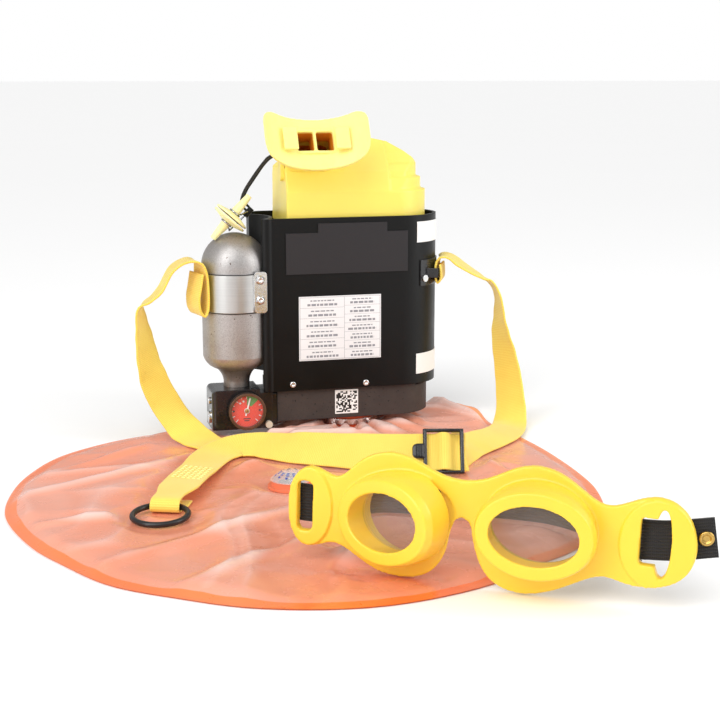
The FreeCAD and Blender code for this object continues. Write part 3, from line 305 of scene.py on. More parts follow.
MAT = {
    "shell": surface("satin_black_shell", "080808", 0.38, 0.12, 20.0, 700.0, 0.00012, 0.0009,
                     Specular_IOR_Level=0.26),
    "base": surface("rough_base_moulding", "39302C", 0.66, 0.18, 60.0, 420.0, 0.0003, 0.0008,
                    ("1D1918", 500.0, 0.66)),
    "inner_metal": surface("perforated_steel", "9A9A98", 0.42, 0.06, Metallic=0.9),
    "absorbent": surface("granule_bed", "D9D6CC", 0.9, 0.12, 90.0, 500.0, 0.0012),
    "pad": surface("filter_felt", "E4E2DA", 0.95, 0.06, 200.0, 1500.0, 0.0004),
    "boot": rubber("satin_yellow_boot", "FFE468", 0.40, 0.05, 18.0, 800.0, 0.00007, 0.12,
                   (0.004, 0.002, 0.0006), Coat_Weight=0.12, Coat_Roughness=0.3),
    "mouth": rubber("pale_mouth_rubber", "FFED8A", 0.46, 0.05, 30.0, 900.0, 0.00006, 0.2,
                   (0.004, 0.0025, 0.0008), Sheen_Weight=0.1),
    # darker orange for walls inside the openings and shut-in inner walls: painted shade
    "painted_shade": rubber("painted_shade_airway_rubber", "E08A1C", 0.5, 0.1, 60.0, 900.0, 0.00006, 0.2,
                   (0.004, 0.0015, 0.0004)),
    "bottle": bead_blasted("bead_blasted_bottle"),
    "band": brushed("brushed_band", "D2D2D0", 0.32),
    "bright": surface("bright_steel", "DADADA", 0.2, 0.1, 120.0, 500.0, 0.0001, 0.0004,
                      ("7A3B30", 300.0, 0.72), Metallic=1.0),
    "block": surface("glossy_black_casting", "17171A", 0.24, 0.2, 40.0, 260.0, 0.00025, 0.001,
                     Coat_Weight=0.25, Coat_Roughness=0.15),
    "beige": surface("beige_plastic", "D9CDB8", 0.5, 0.06),
    "spring": surface("drawn_spring_wire", "B9B9BC", 0.25, 0.06, 300.0, 900.0, 0.00005, 0.0,
                      Metallic=1.0),
    "diaphragm": surface("diaphragm_rubber", "2A2828", 0.7, 0.1),
    "dial": printed("printed_red_dial", "F4452F", 0.45, 0.04),
    "green": printed("printed_green_sector", "58A84A", 0.45, 0.06),
    "white": printed("printed_white", "F4F4F2", 0.5, 0.02),
    "ink": printed("printed_black", "1A1A1A", 0.5, 0.05),
    "blue": printed("printed_blue", "3A4BA0", 0.4, 0.05),
    "rule": printed("printed_grey_rule", "8D9096", 0.5, 0.05),
    "bezel": surface("brown_bezel", "7B6558", 0.32, 0.15, 200.0, 700.0, 0.00008, 0.0004,
                     Metallic=0.8),
    "brass": surface("worn_brass", "C9A45C", 0.28, 0.14, 200.0, 700.0, 0.00008, 0.0004,
                     Metallic=1.0),
    "plate": surface("name_plate_film", "2B292B", 0.46, 0.05, 15.0, 900.0, 0.00005, 0.0003,
                     Specular_IOR_Level=0.3),
    "paper": surface("label_film", "E9EAEC", 0.42, 0.03, 25.0, 700.0, 0.00005, 0.0003,
                     Coat_Weight=0.3, Coat_Roughness=0.12),
    "side_paper": surface("side_label_film", "F0F0EE", 0.45, 0.03, 25.0, 700.0, 0.00005, 0.0003),
    "webbing": woven("yellow_webbing", "FFE872", "EFC03A"),
    "stitch": surface("pale_thread", "FFF3A6", 0.7, 0.08, 300.0, 2500.0, 0.0002, 0.0),
    "ring": surface("black_coated_ring", "1E1C1D", 0.36, 0.15, 90.0, 500.0, 0.0001, 0.0),
    "buckle": surface("black_buckle", "18171A", 0.26, 0.12, 60.0, 600.0, 0.00008, 0.0008,
                      Coat_Weight=0.2, Coat_Roughness=0.15),
    "film": film("orange_film", "FFA684", "FFE4DC", 0.80, 0.25),
    "film_low": film("orange_film_lower", "FF9058", "FFC8A8", 0.9, 0.38),
    "rim": film("orange_weld", "FF8040", "FFAE78", 0.92, 0.30),
    "collar": surface("orange_collar", "D8562A", 0.45, 0.08),
    "valve": clear("clear_valve_cap", "FBF8F6", 0.26),
    "valve_body": surface("valve_seat", "E9805A", 0.4, 0.06, 60.0, 700.0, 0.00006, 0.0004),
    "clip": rubber("cream_clip_rubber", "FFF4B4", 0.5, 0.05, 60.0, 900.0, 0.00006, 0.25,
                   (0.003, 0.002, 0.001)),
    "cord": surface("black_braid", "161516", 0.75, 0.2, 400.0, 1800.0, 0.0003, 0.0,
                    Sheen_Weight=0.3),
    "goggle": rubber("yellow_goggle_rubber", "FDD23C", 0.36, 0.04, 14.0, 800.0, 0.00005, 0.18,
                   (0.005, 0.0025, 0.0006), Coat_Weight=0.15, Coat_Roughness=0.28),
    "lens": clear("grey_goggle_lens", "8C8280", 0.30, 0.04),
    "gauge_lens": clear("gauge_glass", "FFFFFF", 0.035, 0.03),
    "elastic": woven("black_elastic", "262324", "0E0D0D", 11.0, 30.0, 0.0002),
}

NODES_BY_FINISH = {
    "shell": "canister_shroud",
    "base": "canister_base can_lid",
    "inner_metal": "absorbent_can can_screens",
    "pad": "filter_pads",
    "absorbent": "absorbent_bed",
    "boot": "boot mouth_throat tether_eyelet",
    "mouth": "mouthpiece",
    "bottle": "oxygen_bottle",
    "band": "bottle_band",
    "bright": "band_clamp band_bolts side_plugs shroud_screws bracket_rivet bag_clamp_ring",
    "block": "valve_block block_flange diaphragm_cover strap_bracket",
    "brass": "oxygen_outlet reducer_piston demand_lever goggle_snap",
    "beige": "bleed_plug",
    "spring": "reducer_spring relief_spring clip_spring",
    "diaphragm": "demand_diaphragm relief_disc",
    "bezel": "gauge_case gauge_bezel",
    "dial": "gauge_dial",
    "white": "gauge_needle",
    "gauge_lens": "gauge_lens",
    "plate": "name_plate",
    "paper": "white_label",
    "side_paper": "square_label side_labels",
    "webbing": "strap_left strap_right",
    "ring": "pull_ring",
    "buckle": "slider_buckle",
    "film_low": "bag_lower_film",
    "film": "bag_upper_film",
    "collar": "bag_port_collar",
    "valve_body": "relief_body",
    "valve": "relief_cap",
    "clip": "clip_pad_upper clip_pad_lower",
    "cord": "clip_sleeve tether_front tether_back",
    "goggle": "goggle_frame",
    "lens": "goggle_lenses",
    "elastic": "goggle_strap",
}
for finish, names in NODES_BY_FINISH.items():
    for node_name in names.split():
        for material_slot in nodes[node_name].material_slots:
            material_slot.material = MAT[finish]


# ---- mesh helpers ----
def finished(obj, body, replaces=(), smooth=True):
    if smooth:
        obj.data.polygons.foreach_set("use_smooth", [True] * len(obj.data.polygons))
    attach(obj, body)
    if replaces:
        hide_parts(*replaces)
    return obj


def mesh_piece(name, points, faces, materials, uv=None, picks=None):
    """A mesh object from points in millimetres; uv is per point, picks is a material per face."""
    mesh = bpy.data.meshes.new(name)
    mesh.from_pydata([Vector(p) * MM for p in points], [], faces)
    for key in materials:
        mesh.materials.append(MAT[key])
    if uv is not None:
        layer = mesh.uv_layers.new(name="cm")
        loops = np.empty(len(mesh.loops), dtype=np.int32)
        mesh.loops.foreach_get("vertex_index", loops)
        layer.data.foreach_set("uv", np.asarray(uv, dtype=np.float32)[loops].ravel())
    if picks is not None:
        mesh.polygons.foreach_set("material_index", picks)
    mesh.update()
    return add_object(name, mesh)


def joined(parts):
    """One list of points and one of faces from several."""
    points, faces = [], []
    for part_points, part_faces in parts:
        start = len(points)
        points += part_points
        faces += [tuple(i + start for i in face) for face in part_faces]
    return points, faces


def ease(value, low, high):
    t = min(1.0, max(0.0, (value - low) / (high - low)))
    return t * t * (3.0 - 2.0 * t)


def tube_rings(rings):
    """A tube through rings of equally many points, closed at both ends."""
    points = [p for ring in rings for p in ring]
    n = len(rings[0])
    faces = [(i * n + k, i * n + (k + 1) % n, (i + 1) * n + (k + 1) % n, (i + 1) * n + k)
             for i in range(len(rings) - 1) for k in range(n)]
    faces += [tuple(reversed(range(n))), tuple(range((len(rings) - 1) * n, len(rings) * n))]
    return points, faces


def turned(profile, origin, axis, count=48):
    """A surface turned about an axis from (radius, height) pairs, closed at both ends."""
    axis = Vector(axis).normalized()
    side = axis.orthogonal().normalized()
    other = axis.cross(side)
    rings = []
    for r, h in profile:
        rings.append([Vector(origin) + axis * h
                      + (side * math.cos(a) + other * math.sin(a)) * max(r, 0.001)
                      for a in (2 * math.pi * k / count for k in range(count))])
    return tube_rings(rings)


def turned_piece(name, turnings, finish, body, replaces=()):
    """One piece from several (profile, origin, axis, count) turnings."""
    points, faces = joined([turned(*turning) for turning in turnings])
    return finished(mesh_piece(name, points, faces, [finish]), body, replaces)


def smooth_path(points, step):
    """Points about step apart on a smooth curve through the given ones, with their places."""
    p = [Vector(q) for q in points]
    p = [p[0] * 2 - p[1]] + p + [p[-1] * 2 - p[-2]]
    out, places = [], []
    for i in range(1, len(p) - 2):
        a, b, c, d = p[i - 1:i + 3]
        k0 = max((b - a).length, 1e-6) ** 0.5
        k1 = max((c - b).length, 1e-6) ** 0.5
        k2 = max((d - c).length, 1e-6) ** 0.5
        start = (b - a) / k0 - (c - a) / (k0 + k1) + (c - b) / k1
        end = (c - b) / k1 - (d - b) / (k1 + k2) + (d - c) / k2
        start, end = start * k1, end * k1
        count = max(2, round((c - b).length / step))
        for k in range(count):
            t = k / count
            out.append(b * (2 * t ** 3 - 3 * t * t + 1) + start * (t ** 3 - 2 * t * t + t)
                       + c * (3 * t * t - 2 * t ** 3) + end * (t ** 3 - t * t))
            places.append(i - 1 + t)
    return out + [p[-2]], places + [len(points) - 1.0]


def strap(name, sections, thick, body, replaces, finish, ribs=0, step=2.0):
    """Webbing through sections of (x, y, z, across, width), with rounded edges."""
    centres, places = smooth_path([s[:3] for s in sections], step)
    if ribs:
        half = [(-0.5 + k / (ribs * 6.0), 0.5 + 0.16 * math.cos(2 * math.pi * k / 6.0))
                for k in range(ribs * 6 + 1)]
    else:
        half = [(-0.5, 0.12), (-0.492, 0.42), (-0.47, 0.55), (-0.44, 0.5), (-0.22, 0.5), (0.0, 0.5),
                (0.22, 0.5), (0.44, 0.5), (0.47, 0.55), (0.492, 0.42), (0.5, 0.12)]
    profile = half + [(a, -o) for a, o in reversed(half)]
    rings, uv, along = [], [], 0.0
    for i, (centre, place) in enumerate(zip(centres, places)):
        k = min(int(place), len(sections) - 2)
        t = place - k
        t = t * t * (3 - 2 * t)
        across = Vector(sections[k][3]).lerp(Vector(sections[k + 1][3]), t).normalized()
        width = sections[k][4] * (1 - t) + sections[k + 1][4] * t
        ahead = centres[min(i + 1, len(centres) - 1)] - centres[max(i - 1, 0)]
        across = (across - ahead * (across.dot(ahead) / ahead.length_squared)).normalized()
        out = ahead.cross(across).normalized()
        along += (centre - centres[max(i - 1, 0)]).length
        rings.append([centre + across * (a * width) + out * (o * thick) for a, o in profile])
        uv += [(a * width / 10, along / 10) for a, o in profile]
    points, faces = tube_rings(rings)
    obj = mesh_piece(name, points, faces, [finish], uv)
    return finished(obj, body, replaces)


def remade(node, name, voxel, passes, finishes, body, shape=None):
    """A moulded piece: a CAD node's form with its edges worn round by remeshing and smoothing."""
    mesh = nodes[node].data.copy()
    mesh.materials.clear()
    source = add_object(name + "_form", mesh)
    remesh = source.modifiers.new("voxels", "REMESH")
    remesh.mode = "VOXEL"
    remesh.voxel_size = voxel * MM
    smooth = source.modifiers.new("soften", "SMOOTH")
    smooth.factor = 0.5
    smooth.iterations = passes
    depsgraph = bpy.context.evaluated_depsgraph_get()
    made = bpy.data.meshes.new_from_object(source.evaluated_get(depsgraph))
    bpy.data.objects.remove(source)
    bpy.data.meshes.remove(mesh)
    made.name = name
    for key in finishes:
        made.materials.append(MAT[key])
    if shape:
        shape(made)
    return finished(add_object(name, made), body, (node,))


# ---- webbing ----
WEB_W, WEB_T = 25.0, 1.4
LEFT_STRAP = (
    (-94.6, -19, 121, (-0.24, 0.97, 0)), (-96.1, -19.4, 112, (-0.24, 0.97, 0)),
    (-97.6, -19.8, 103, (-0.24, 0.97, 0)), (-96.7, -19.6, 95, (-0.24, 0.97, 0)),
    (-93.6, -18.8, 91, (-0.24, 0.97, 0)), (-91.3, -18.2, 95, (-0.24, 0.97, 0)),
    (-91.3, -18.2, 119, (-0.24, 0.97, 0)), (-93.2, -18.7, 127.5, (-0.15, 0.99, 0)),
    (-98.5, -18.4, 130, (-0.06, 1, 0)),
    (-104, -18, 129.1, (0, 1, 0)), (-112.7, -20, 123.6, (0, 1, 0)),
    (-120.8, -20, 109.8, (0, 1, 0)), (-127.9, -20, 103, (0.1, 1, 0)),
    (-134.7, -20, 98.3, (0.25, 0.95, 0)), (-134.4, -20, 87.2, (0.39, 0.92, 0)),
    (-132.9, -20, 75.8, (0.55, 0.81, -0.19)), (-130.4, -20, 58.9, (0.69, 0.71, -0.13)),
    (-126.9, -20, 45.7, (0.83, 0.56, 0)), (-123.5, -20, 36.9, (0.81, 0.56, 0.19)),
    (-118.5, -20, 27.2, (0.83, 0.51, 0.21)), (-112.5, -22, 17.5, (0.77, 0.55, 0.33)),
    (-107, -27, 10.6, (0.74, 0.49, 0.4)), (-100.6, -38, 6.6, (0.76, 0.56, 0.25)),
    (-92, -51, 4.3, (0.75, 0.63, 0.08)), (-78, -66, 3.4, (0.4, 0.92, 0)),
    (-58, -73, 3.4, (0.4, 0.92, 0)), (-30, -90, 3.4, (0.52, 0.85, 0)),
    (0, -114, 3.4, (0.55, 0.83, 0)), (26, -134, 3.4, (0.5, 0.86, 0)))

RIGHT_STRAP = (
    (92, -15, 126.4, (0.31, 0.95, 0.05)), (99.3, -16, 122.4, (0.39, 0.92, 0.07)),
    (108.5, -17, 116.4, (0.39, 0.92, 0)), (118.5, -18, 110.6, (0.35, 0.93, -0.06)),
    (123.6, -19, 107.6, (0.27, 0.94, -0.2)), (128.2, -20, 101.7, (0.23, 0.96, -0.17)),
    (130.6, -21, 94.2, (0.16, 0.98, -0.13)), (131.3, -22, 81.9, (0.04, 0.99, -0.16)),
    (132.3, -23, 67.7, (-0.16, 0.93, -0.32)), (135, -25, 52.2, (-0.36, 0.89, -0.27)),
    (136.6, -29, 36.5, (-0.49, 0.85, -0.17)), (136.6, -34, 22.6, (-0.56, 0.82, -0.1)),
    (135.6, -39, 12.5, (-0.6, 0.8, 0)), (132.8, -45, 7, (-0.65, 0.76, 0)),
    (129, -54, 4.8, (-0.72, 0.69, 0.05)), (122.8, -66.1, 5.1, (-0.78, 0.61, 0.12)),
    (110.6, -83.9, 6.4, (-0.76, 0.61, 0.22)), (91.1, -102.3, 7.8, (-0.66, 0.67, 0.33)),
    (76.9, -115.1, 8.9, (-0.6, 0.68, 0.42)), (65.4, -133.5, 12.4, (-0.3, 0.66, 0.69)),
    (61.3, -147.5, 14.5, (-0.05, 0.55, 0.83)))

RUN_STRAP = (
    (20.4, -144.5, 15.2, (0.24, 0.44, 0.87)), (-2.9, -131.9, 14.1, (0.27, 0.47, 0.84)),
    (-21, -118.4, 13, (0.37, 0.56, 0.74)), (-38.1, -105.5, 12.1, (0.37, 0.63, 0.68)),
    (-52.7, -89.2, 10.1, (0.61, 0.6, 0.52)), (-61, -79.1, 9.2, (0.55, 0.71, 0.44)),
    (-69.2, -75, 8.6, (0.18, 0.9, 0.39)), (-77.3, -73.8, 7.9, (-0.2, 0.92, 0.33)),
    (-84.6, -77.2, 7.2, (-0.5, 0.82, 0.27)), (-91.9, -83.6, 6.6, (-0.77, 0.6, 0.21)),
    (-100.7, -99, 6.8, (-0.87, 0.45, 0.16)), (-109.5, -120, 7.4, (-0.89, 0.43, 0.06)),
    (-119.5, -143.3, 8.8, (-0.92, 0.38, 0.03)), (-128.5, -167, 10.3, (-0.92, 0.38, 0)))

LOOP = ((37.1, 121.5), (37.6, 116), (37.4, 110.5), (35.5, 108), (33.9, 111), (33.9, 116),
        (33.9, 121), (35.5, 125.5))
WEAVE = ((14, -3.6), (10, -4.0), (5, -1.2), (1.6, 2.3), (-1.6, 2.3), (-5, -1.2), (-10.5, -1.5),
         (-16, -1.8))
TUNNEL = ((-6.0, 4.3), (0.0, 4.4), (4.2, 3.9), (6.4, 2.0), (7.0, 0.0), (6.4, -1.6), (4.0, -2.7),
          (0.0, -2.9), (-10.0, -2.8), (-17.0, -2.6))
RING_AT, RING_R = Vector((-145.0, -207.0, 6.3)), 16.25
TO_RING = Vector((-0.37, -0.93, 0.0)).normalized()
RING_ACROSS = (-0.93, 0.37, 0.0)
BUCKLE_AT = Vector((45.0, -156.4, 17.2))
RAIL_T = 2.2
BUCKLE_TURN, BUCKLE_LEAN = math.radians(-14.0), math.radians(60.0)
BAR_R, BAR_PITCH = 1.3, 12.0
BRACKET_TURN = math.radians(-24.0)
END_X = 54.0


def buckle_axes():
    """Directions along the webbing, across it, and out of the buckle's frame."""
    along = Vector((math.cos(BUCKLE_TURN), math.sin(BUCKLE_TURN), 0.0))
    across = Vector((-math.sin(BUCKLE_TURN) * math.cos(BUCKLE_LEAN),
                     math.cos(BUCKLE_TURN) * math.cos(BUCKLE_LEAN), math.sin(BUCKLE_LEAN)))
    return along, across, along.cross(across)


def right_sections():
    sections = []
    for out, z in LOOP:
        x, y = out * math.cos(BRACKET_TURN), out * math.sin(BRACKET_TURN)
        sections.append((END_X + x, y, z, (0.407, 0.914, 0), WEB_W))
    sections += [s + (WEB_W,) for s in RIGHT_STRAP]
    along, across, normal = buckle_axes()
    for s, out in WEAVE:
        p = BUCKLE_AT + along * s + normal * out
        sections.append((p.x, p.y, p.z, tuple(across), WEB_W))
    sections += [s + (WEB_W,) for s in RUN_STRAP]
    seat = RING_AT - TO_RING * RING_R
    for s, up in TUNNEL:
        p = seat + TO_RING * s + Vector((0, 0, up))
        sections.append((p.x, p.y, p.z, RING_ACROSS, 18.0 if s > -8.0 else 22.0))
    return sections


strap_left = strap("left_webbing", [s + (WEB_W,) for s in LEFT_STRAP], WEB_T, "unit",
                   ("strap_left",), "webbing")
strap_right = strap("right_webbing", right_sections(), WEB_T, "unit",
                    ("strap_right",), "webbing")


def stitched_patch():
    """Rows of thread across the strap near its end."""
    start, end = Vector((-110.5, -122.4, 8.3)), Vector((-122.5, -151.0, 10.1))
    across = Vector((-0.9, 0.42, 0.05)).normalized()
    along = end - start
    up = along.cross(across).normalized()
    if up.z < 0:
        up = -up
    parts = []
    for row in range(8):
        centre = start + along * (row / 7.0)
        for stitch in range(6):
            a = centre + across * (-9.6 + stitch * 3.35) + up * 0.15
            b = a + across * 2.5
            rings = []
            for k, (r, lift) in enumerate(((0.1, -0.1), (0.38, 0.1), (0.42, 0.16), (0.38, 0.1),
                                           (0.1, -0.1))):
                p = a.lerp(b, k / 4.0) + up * lift
                rings.append([p + along.normalized() * (r * math.cos(t)) + up * (r * math.sin(t))
                              for t in (2 * math.pi * j / 8 for j in range(8))])
            parts.append(tube_rings(rings))
    points, faces = joined(parts)
    return finished(mesh_piece("strap_stitches", points, faces, ["stitch"]), "unit")


stitched_patch()


# ---- buckle ----
def bar(start, end, half_w, half_h, wide, round_r=0.5):
    """A straight bar with a rounded rectangular section; wide is the direction of half_w."""
    start, end = Vector(start), Vector(end)
    ahead = (end - start).normalized()
    wide = Vector(wide).normalized()
    high = ahead.cross(wide)
    r = min(round_r, half_w * 0.95, half_h * 0.95)
    section = []
    for cx, cy, base in ((1, 1, 0), (-1, 1, 90), (-1, -1, 180), (1, -1, 270)):
        for k in range(4):
            a = math.radians(base + 30 * k)
            section.append((cx * (half_w - r) + r * math.cos(a), cy * (half_h - r) + r * math.sin(a)))
    rings = []
    length = (end - start).length
    for s, k in ((0.0, 0.72), (0.35, 0.94), (0.8, 1.0), (length - 0.8, 1.0), (length - 0.35, 0.94),
                 (length, 0.72)):
        rings.append([start + ahead * s + wide * (x * k) + high * (y * k) for x, y in section])
    return tube_rings(rings)


def buckle():
    along, across, normal = buckle_axes()

    def at(s, t, out):
        return BUCKLE_AT + along * s + across * t + normal * out

    half = WEB_W / 2 + 0.4
    parts = []
    for s, out in ((-BAR_PITCH, 1.2), (0.0, 0.0), (BAR_PITCH, 1.2)):
        parts.append(bar(at(s, -half - 1.6, out), at(s, half + 1.6, out), BAR_R, BAR_R, along, 1.0))
    for side in (-1, 1):
        middle = side * (half + RAIL_T / 2)
        parts.append(bar(at(-BAR_PITCH - 1.3, middle, 0.75), at(BAR_PITCH + 1.3, middle, 0.75),
                         RAIL_T / 2, 1.75, across, 0.9))
    tab = []
    for s, w in ((-12.6, 5.0), (-15.0, 5.0), (-17.6, 4.9), (-19.3, 4.2), (-20.3, 2.6)):
        tab.append([at(s, w * x, 1.65 + 0.85 * y) for x, y in
                    ((1, 0.5), (0.94, 0.9), (0.6, 1.0), (-0.6, 1.0), (-0.94, 0.9), (-1, 0.5),
                     (-1, -0.5), (-0.94, -0.9), (0.94, -0.9), (1, -0.5))])
    parts.append(tube_rings(tab))
    for s in (-14.2, -15.8, -17.4):
        parts.append(bar(at(s, -4.0, 2.45), at(s, 4.0, 2.45), 0.35, 0.3, along, 0.28))
    points, faces = joined(parts)
    finished(mesh_piece("buckle", points, faces, ["buckle"]), "slider_buckle",
             ("slider_buckle",))


buckle()


# ---- nose clip and tethers ----
TETHER_FRONT = ((-34.4, -16.2, 202), (-40.5, -17.6, 202.8), (-46.5, -18.5, 196.5),
                (-54, -17, 186), (-60, -13, 175.5), (-60.5, -6.5, 166.5), (-56.2, -2.9, 163))
TETHER_BACK = ((-34.4, -13.8, 202), (-38.5, -14, 201.6), (-45, -14.5, 195.5),
               (-51, -13.5, 186.5), (-57, -9.5, 177), (-58.5, -4, 169), (-53.7, -1.8, 165))
CORD_R = 0.9


def tether(name, route, node):
    curve = bpy.data.curves.new(name, "CURVE")
    curve.dimensions = "3D"
    curve.bevel_depth = CORD_R * MM
    curve.bevel_resolution = 4
    curve.resolution_u = 12
    curve.use_fill_caps = True
    spline = curve.splines.new("NURBS")
    spline.points.add(len(route) - 1)
    for point, place in zip(spline.points, route):
        point.co = (*[c * MM for c in place], 1.0)
    spline.order_u = 3
    spline.use_endpoint_u = True
    curve.materials.append(MAT["cord"])
    obj = add_object(name, curve)
    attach(obj, "nose_clip")
    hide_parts(node)


tether("tether_strand_front", TETHER_FRONT, "tether_front")
tether("tether_strand_back", TETHER_BACK, "tether_back")
remade("clip_pad_upper", "nose_pad_upper", 0.45, 2, ["clip"], "clip_upper")
remade("clip_pad_lower", "nose_pad_lower", 0.45, 2, ["clip"], "nose_clip")


# ---- boot, mouthpiece, throat ----
MOUTH_AT, MOUTH_TILT = Vector((-13.3, -40.0, 212.0)) * MM, math.radians(-28.0)


def airway_faces(mesh):
    """The walls inside the two openings take a darker orange rubber colour as painted shade."""
    back = Matrix.Rotation(-MOUTH_TILT, 4, "X") @ Matrix.Translation(-MOUTH_AT)
    for face in mesh.polygons:
        p = back @ face.center
        inside = abs(p.x) < 0.0135 and abs(p.z) < 0.0075 and p.y > 0.0006
        face.material_index = 1 if inside else 0


def inner_faces(mesh):
    """Faces with walls ahead, above and behind them take a darker orange rubber colour as painted
    shade.
    """
    tree = BVHTree.FromPolygons([v.co for v in mesh.vertices], [p.vertices for p in mesh.polygons])
    for face in mesh.polygons:
        start = face.center + face.normal * 0.0004
        looks = (face.normal, Vector((0.0, 0.0, 1.0)), Vector((0.0, 1.0, 0.0)))
        shut_in = all(tree.ray_cast(start, look, 0.12)[0] for look in looks)
        face.material_index = 1 if shut_in else 0


TIER_EDGE, TIER_TOPS, TIER_IN = 45.0, (176.5, 185.3, 195.0), 1.3


def stepped_boot(mesh):
    """Sets each tier of the boot's right end further in, front and back."""
    for vertex in mesh.vertices:
        p = vertex.co / MM
        side = ease(p.x, TIER_EDGE - 0.8, TIER_EDGE + 0.8)
        steps = sum(ease(p.z, top - 0.5, top + 0.5) for top in TIER_TOPS)
        vertex.co.y -= math.copysign(min(abs(p.y), TIER_IN * side * steps), p.y) * MM
    # the shut-in inner walls get the painted shade colour
    inner_faces(mesh)


remade("boot", "moulded_boot", 0.8, 2, ["boot", "painted_shade"], "unit", stepped_boot)
remade("mouthpiece", "moulded_mouthpiece", 0.6, 4, ["mouth", "painted_shade"], "mouthpiece",
       airway_faces)


def soft_copy(node, name, finish):
    """A piece with a CAD node's own form and the given finish, in place of the hidden node."""
    mesh = nodes[node].data.copy()
    mesh.materials.clear()
    mesh.materials.append(MAT[finish])
    obj = add_object(name, mesh)
    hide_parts(node)
    return obj


throat = soft_copy("mouth_throat", "flexing_throat", "boot")
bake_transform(throat)


def sprung(node, name):
    """A coil spring with a CAD node's own form and a mesh of its own, attached to the unit."""
    obj = soft_copy(node, name, "spring")
    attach(obj, "unit")
    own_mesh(obj)


sprung("relief_spring", "valve_spring")
sprung("reducer_spring", "piston_spring")


# ---- goggles ----
GOGGLE_PLACE = (Matrix.Translation(Vector((-7.0, -355.0, 2.2)))
                @ Matrix.Rotation(math.radians(-33.0), 4, "Z")
                @ Matrix.Rotation(math.radians(2.0), 4, "Y"))


def goggle_point(u, n, z):
    """A point of the goggles in the set's axes; n is out of the front."""
    return GOGGLE_PLACE @ Vector((u, -n, z))


def lug_steps(mesh):
    """Raises a thicker disc on the front of each lug."""
    back = GOGGLE_PLACE.inverted()
    out = (GOGGLE_PLACE.to_3x3() @ Vector((0.0, -1.0, 0.0))).normalized()
    for vertex in mesh.vertices:
        p = back @ (vertex.co / MM)
        lift = 0.0
        for u, z, half_u, half_z in ((94.0, 35.0, 19.0, 23.5), (-86.5, 31.0, 13.5, 22.0)):
            far = math.hypot((p.x - u) / half_u, (p.z - z) / half_z)
            lift = max(lift, 1.5 * (1.0 - ease(far, 0.955, 0.99)))
        depth = 1.0 - ease(p.y, 0.8, 4.8)
        vertex.co += out * (lift * depth * MM)


remade("goggle_frame", "moulded_goggles", 0.7, 3, ["goggle"], "goggles",
       lug_steps)

ELASTIC = ((-95, -6.4, 31), (-86, -6.4, 31), (-82.5, -10, 30.5), (-81, -20, 27), (-83, -40, 19),
           (-87.5, -65, 10.5), (-89, -84, 8.4), (-79, -98, 8.8), (-57, -103, 9.6),
           (-25, -109, 10.7), (0, -111, 11.6), (20, -109.5, 12.3), (38, -101, 13), (57, -84, 14),
           (72, -62, 17), (81, -40, 23), (84, -22, 29.5), (84.5, -11.5, 34), (87, -6.6, 35.5),
           (98, -6.4, 36.5), (106, -6.4, 38), (113, -6.8, 39.5), (121, -8, 41))
goggle_up = tuple(goggle_point(0, 0, 1) - goggle_point(0, 0, 0))
elastic = strap("ribbed_elastic", [tuple(goggle_point(*p)) + (goggle_up, 20.0) for p in ELASTIC],
                1.6, "goggles", ("goggle_strap",), "elastic", 12)


def snap():
    face = goggle_point(116.4, -6.3, 40.2)
    ahead = goggle_point(121, -8, 0) - goggle_point(113, -6.8, 0)
    axis = ahead.cross(Vector(goggle_up)).normalized()
    profile = ((0.0, 0.0), (3.8, 0.0), (3.8, 0.7), (3.4, 1.2), (2.9, 1.35), (2.3, 1.15), (1.9, 0.8),
               (1.7, 0.5), (1.2, 0.45), (0.0, 0.45))
    turned_piece("snap_eyelet", [(profile, face, axis)], "brass", "goggles",
                 ("goggle_snap",))


snap()


# ---- gauge face ----
GAUGE = Vector((-62.7, 0.0, 22.0))


def dial_patch(r0, r1, start, end, y, count=12):
    """A flat patch of a dial between two radii and two clock angles in degrees."""
    points = []
    for k in range(count + 1):
        a = math.radians(start + (end - start) * k / count)
        for r in (r0, r1):
            points.append(GAUGE + Vector((r * math.sin(a), y, r * math.cos(a))))
    faces = [(2 * k, 2 * k + 1, 2 * k + 3, 2 * k + 2) for k in range(count)]
    return points, faces


def gauge_print():
    parts, picks = [], []

    def add(part, colour):
        parts.append(part)
        picks.extend([colour] * len(part[1]))

    add(dial_patch(4.2, 11.2, 2.0, 48.0, -32.06), 0)
    for k in range(13):
        a = -135 + 22.5 * k
        if not 0 < a < 50:
            add(dial_patch(9.4 if k % 2 else 8.8, 11.2, a - 1.6, a + 1.6, -32.07, 2), 1)
    for a in (-40, -18):
        add(dial_patch(6.6, 8.0, a - 5, a + 5, -32.07, 3), 1)
    for a in (-90, 90):
        centre = GAUGE + Vector((9.4 * math.sin(math.radians(a)), 0, 0))
        spot = [centre + Vector((0.75 * math.cos(t), -32.08, 0.75 * math.sin(t)))
                for t in (2 * math.pi * k / 16 for k in range(16))]
        add((spot, [tuple(range(16))]), 2)
    for width, z in ((2.6, -6.2), (1.8, -7.6)):
        add(([GAUGE + Vector((x, -32.07, z + h)) for x, h in
              ((-width, 0), (width, 0), (width, 0.7), (-width, 0.7))], [(0, 1, 2, 3)]), 2)
    points, faces = joined(parts)
    obj = mesh_piece("gauge_print", points, faces, ["green", "white", "ink"], picks=picks)
    finished(obj, "unit", smooth=False)


gauge_print()
HUB = ((0.0, -33.75), (0.9, -33.72), (1.5, -33.55), (1.7, -33.42), (1.2, -33.41), (0.0, -33.41))
turned_piece("gauge_hub_cap", [(HUB, (GAUGE.x, 0, GAUGE.z), (0, 1, 0), 32)], "brass",
             "gauge_needle")


# ---- labels ----
def strips(name, rects, y, finish):
    """Thin printed rectangles (x0, z0, x1, z1) on a face that looks towards -Y."""
    parts = [([Vector((x, y, z)) for x, z in ((x0, z0), (x1, z0), (x1, z1), (x0, z1))],
              [(0, 1, 2, 3)]) for x0, z0, x1, z1 in rects]
    points, faces = joined(parts)
    finished(mesh_piece(name, points, faces, [finish]), "unit", smooth=False)


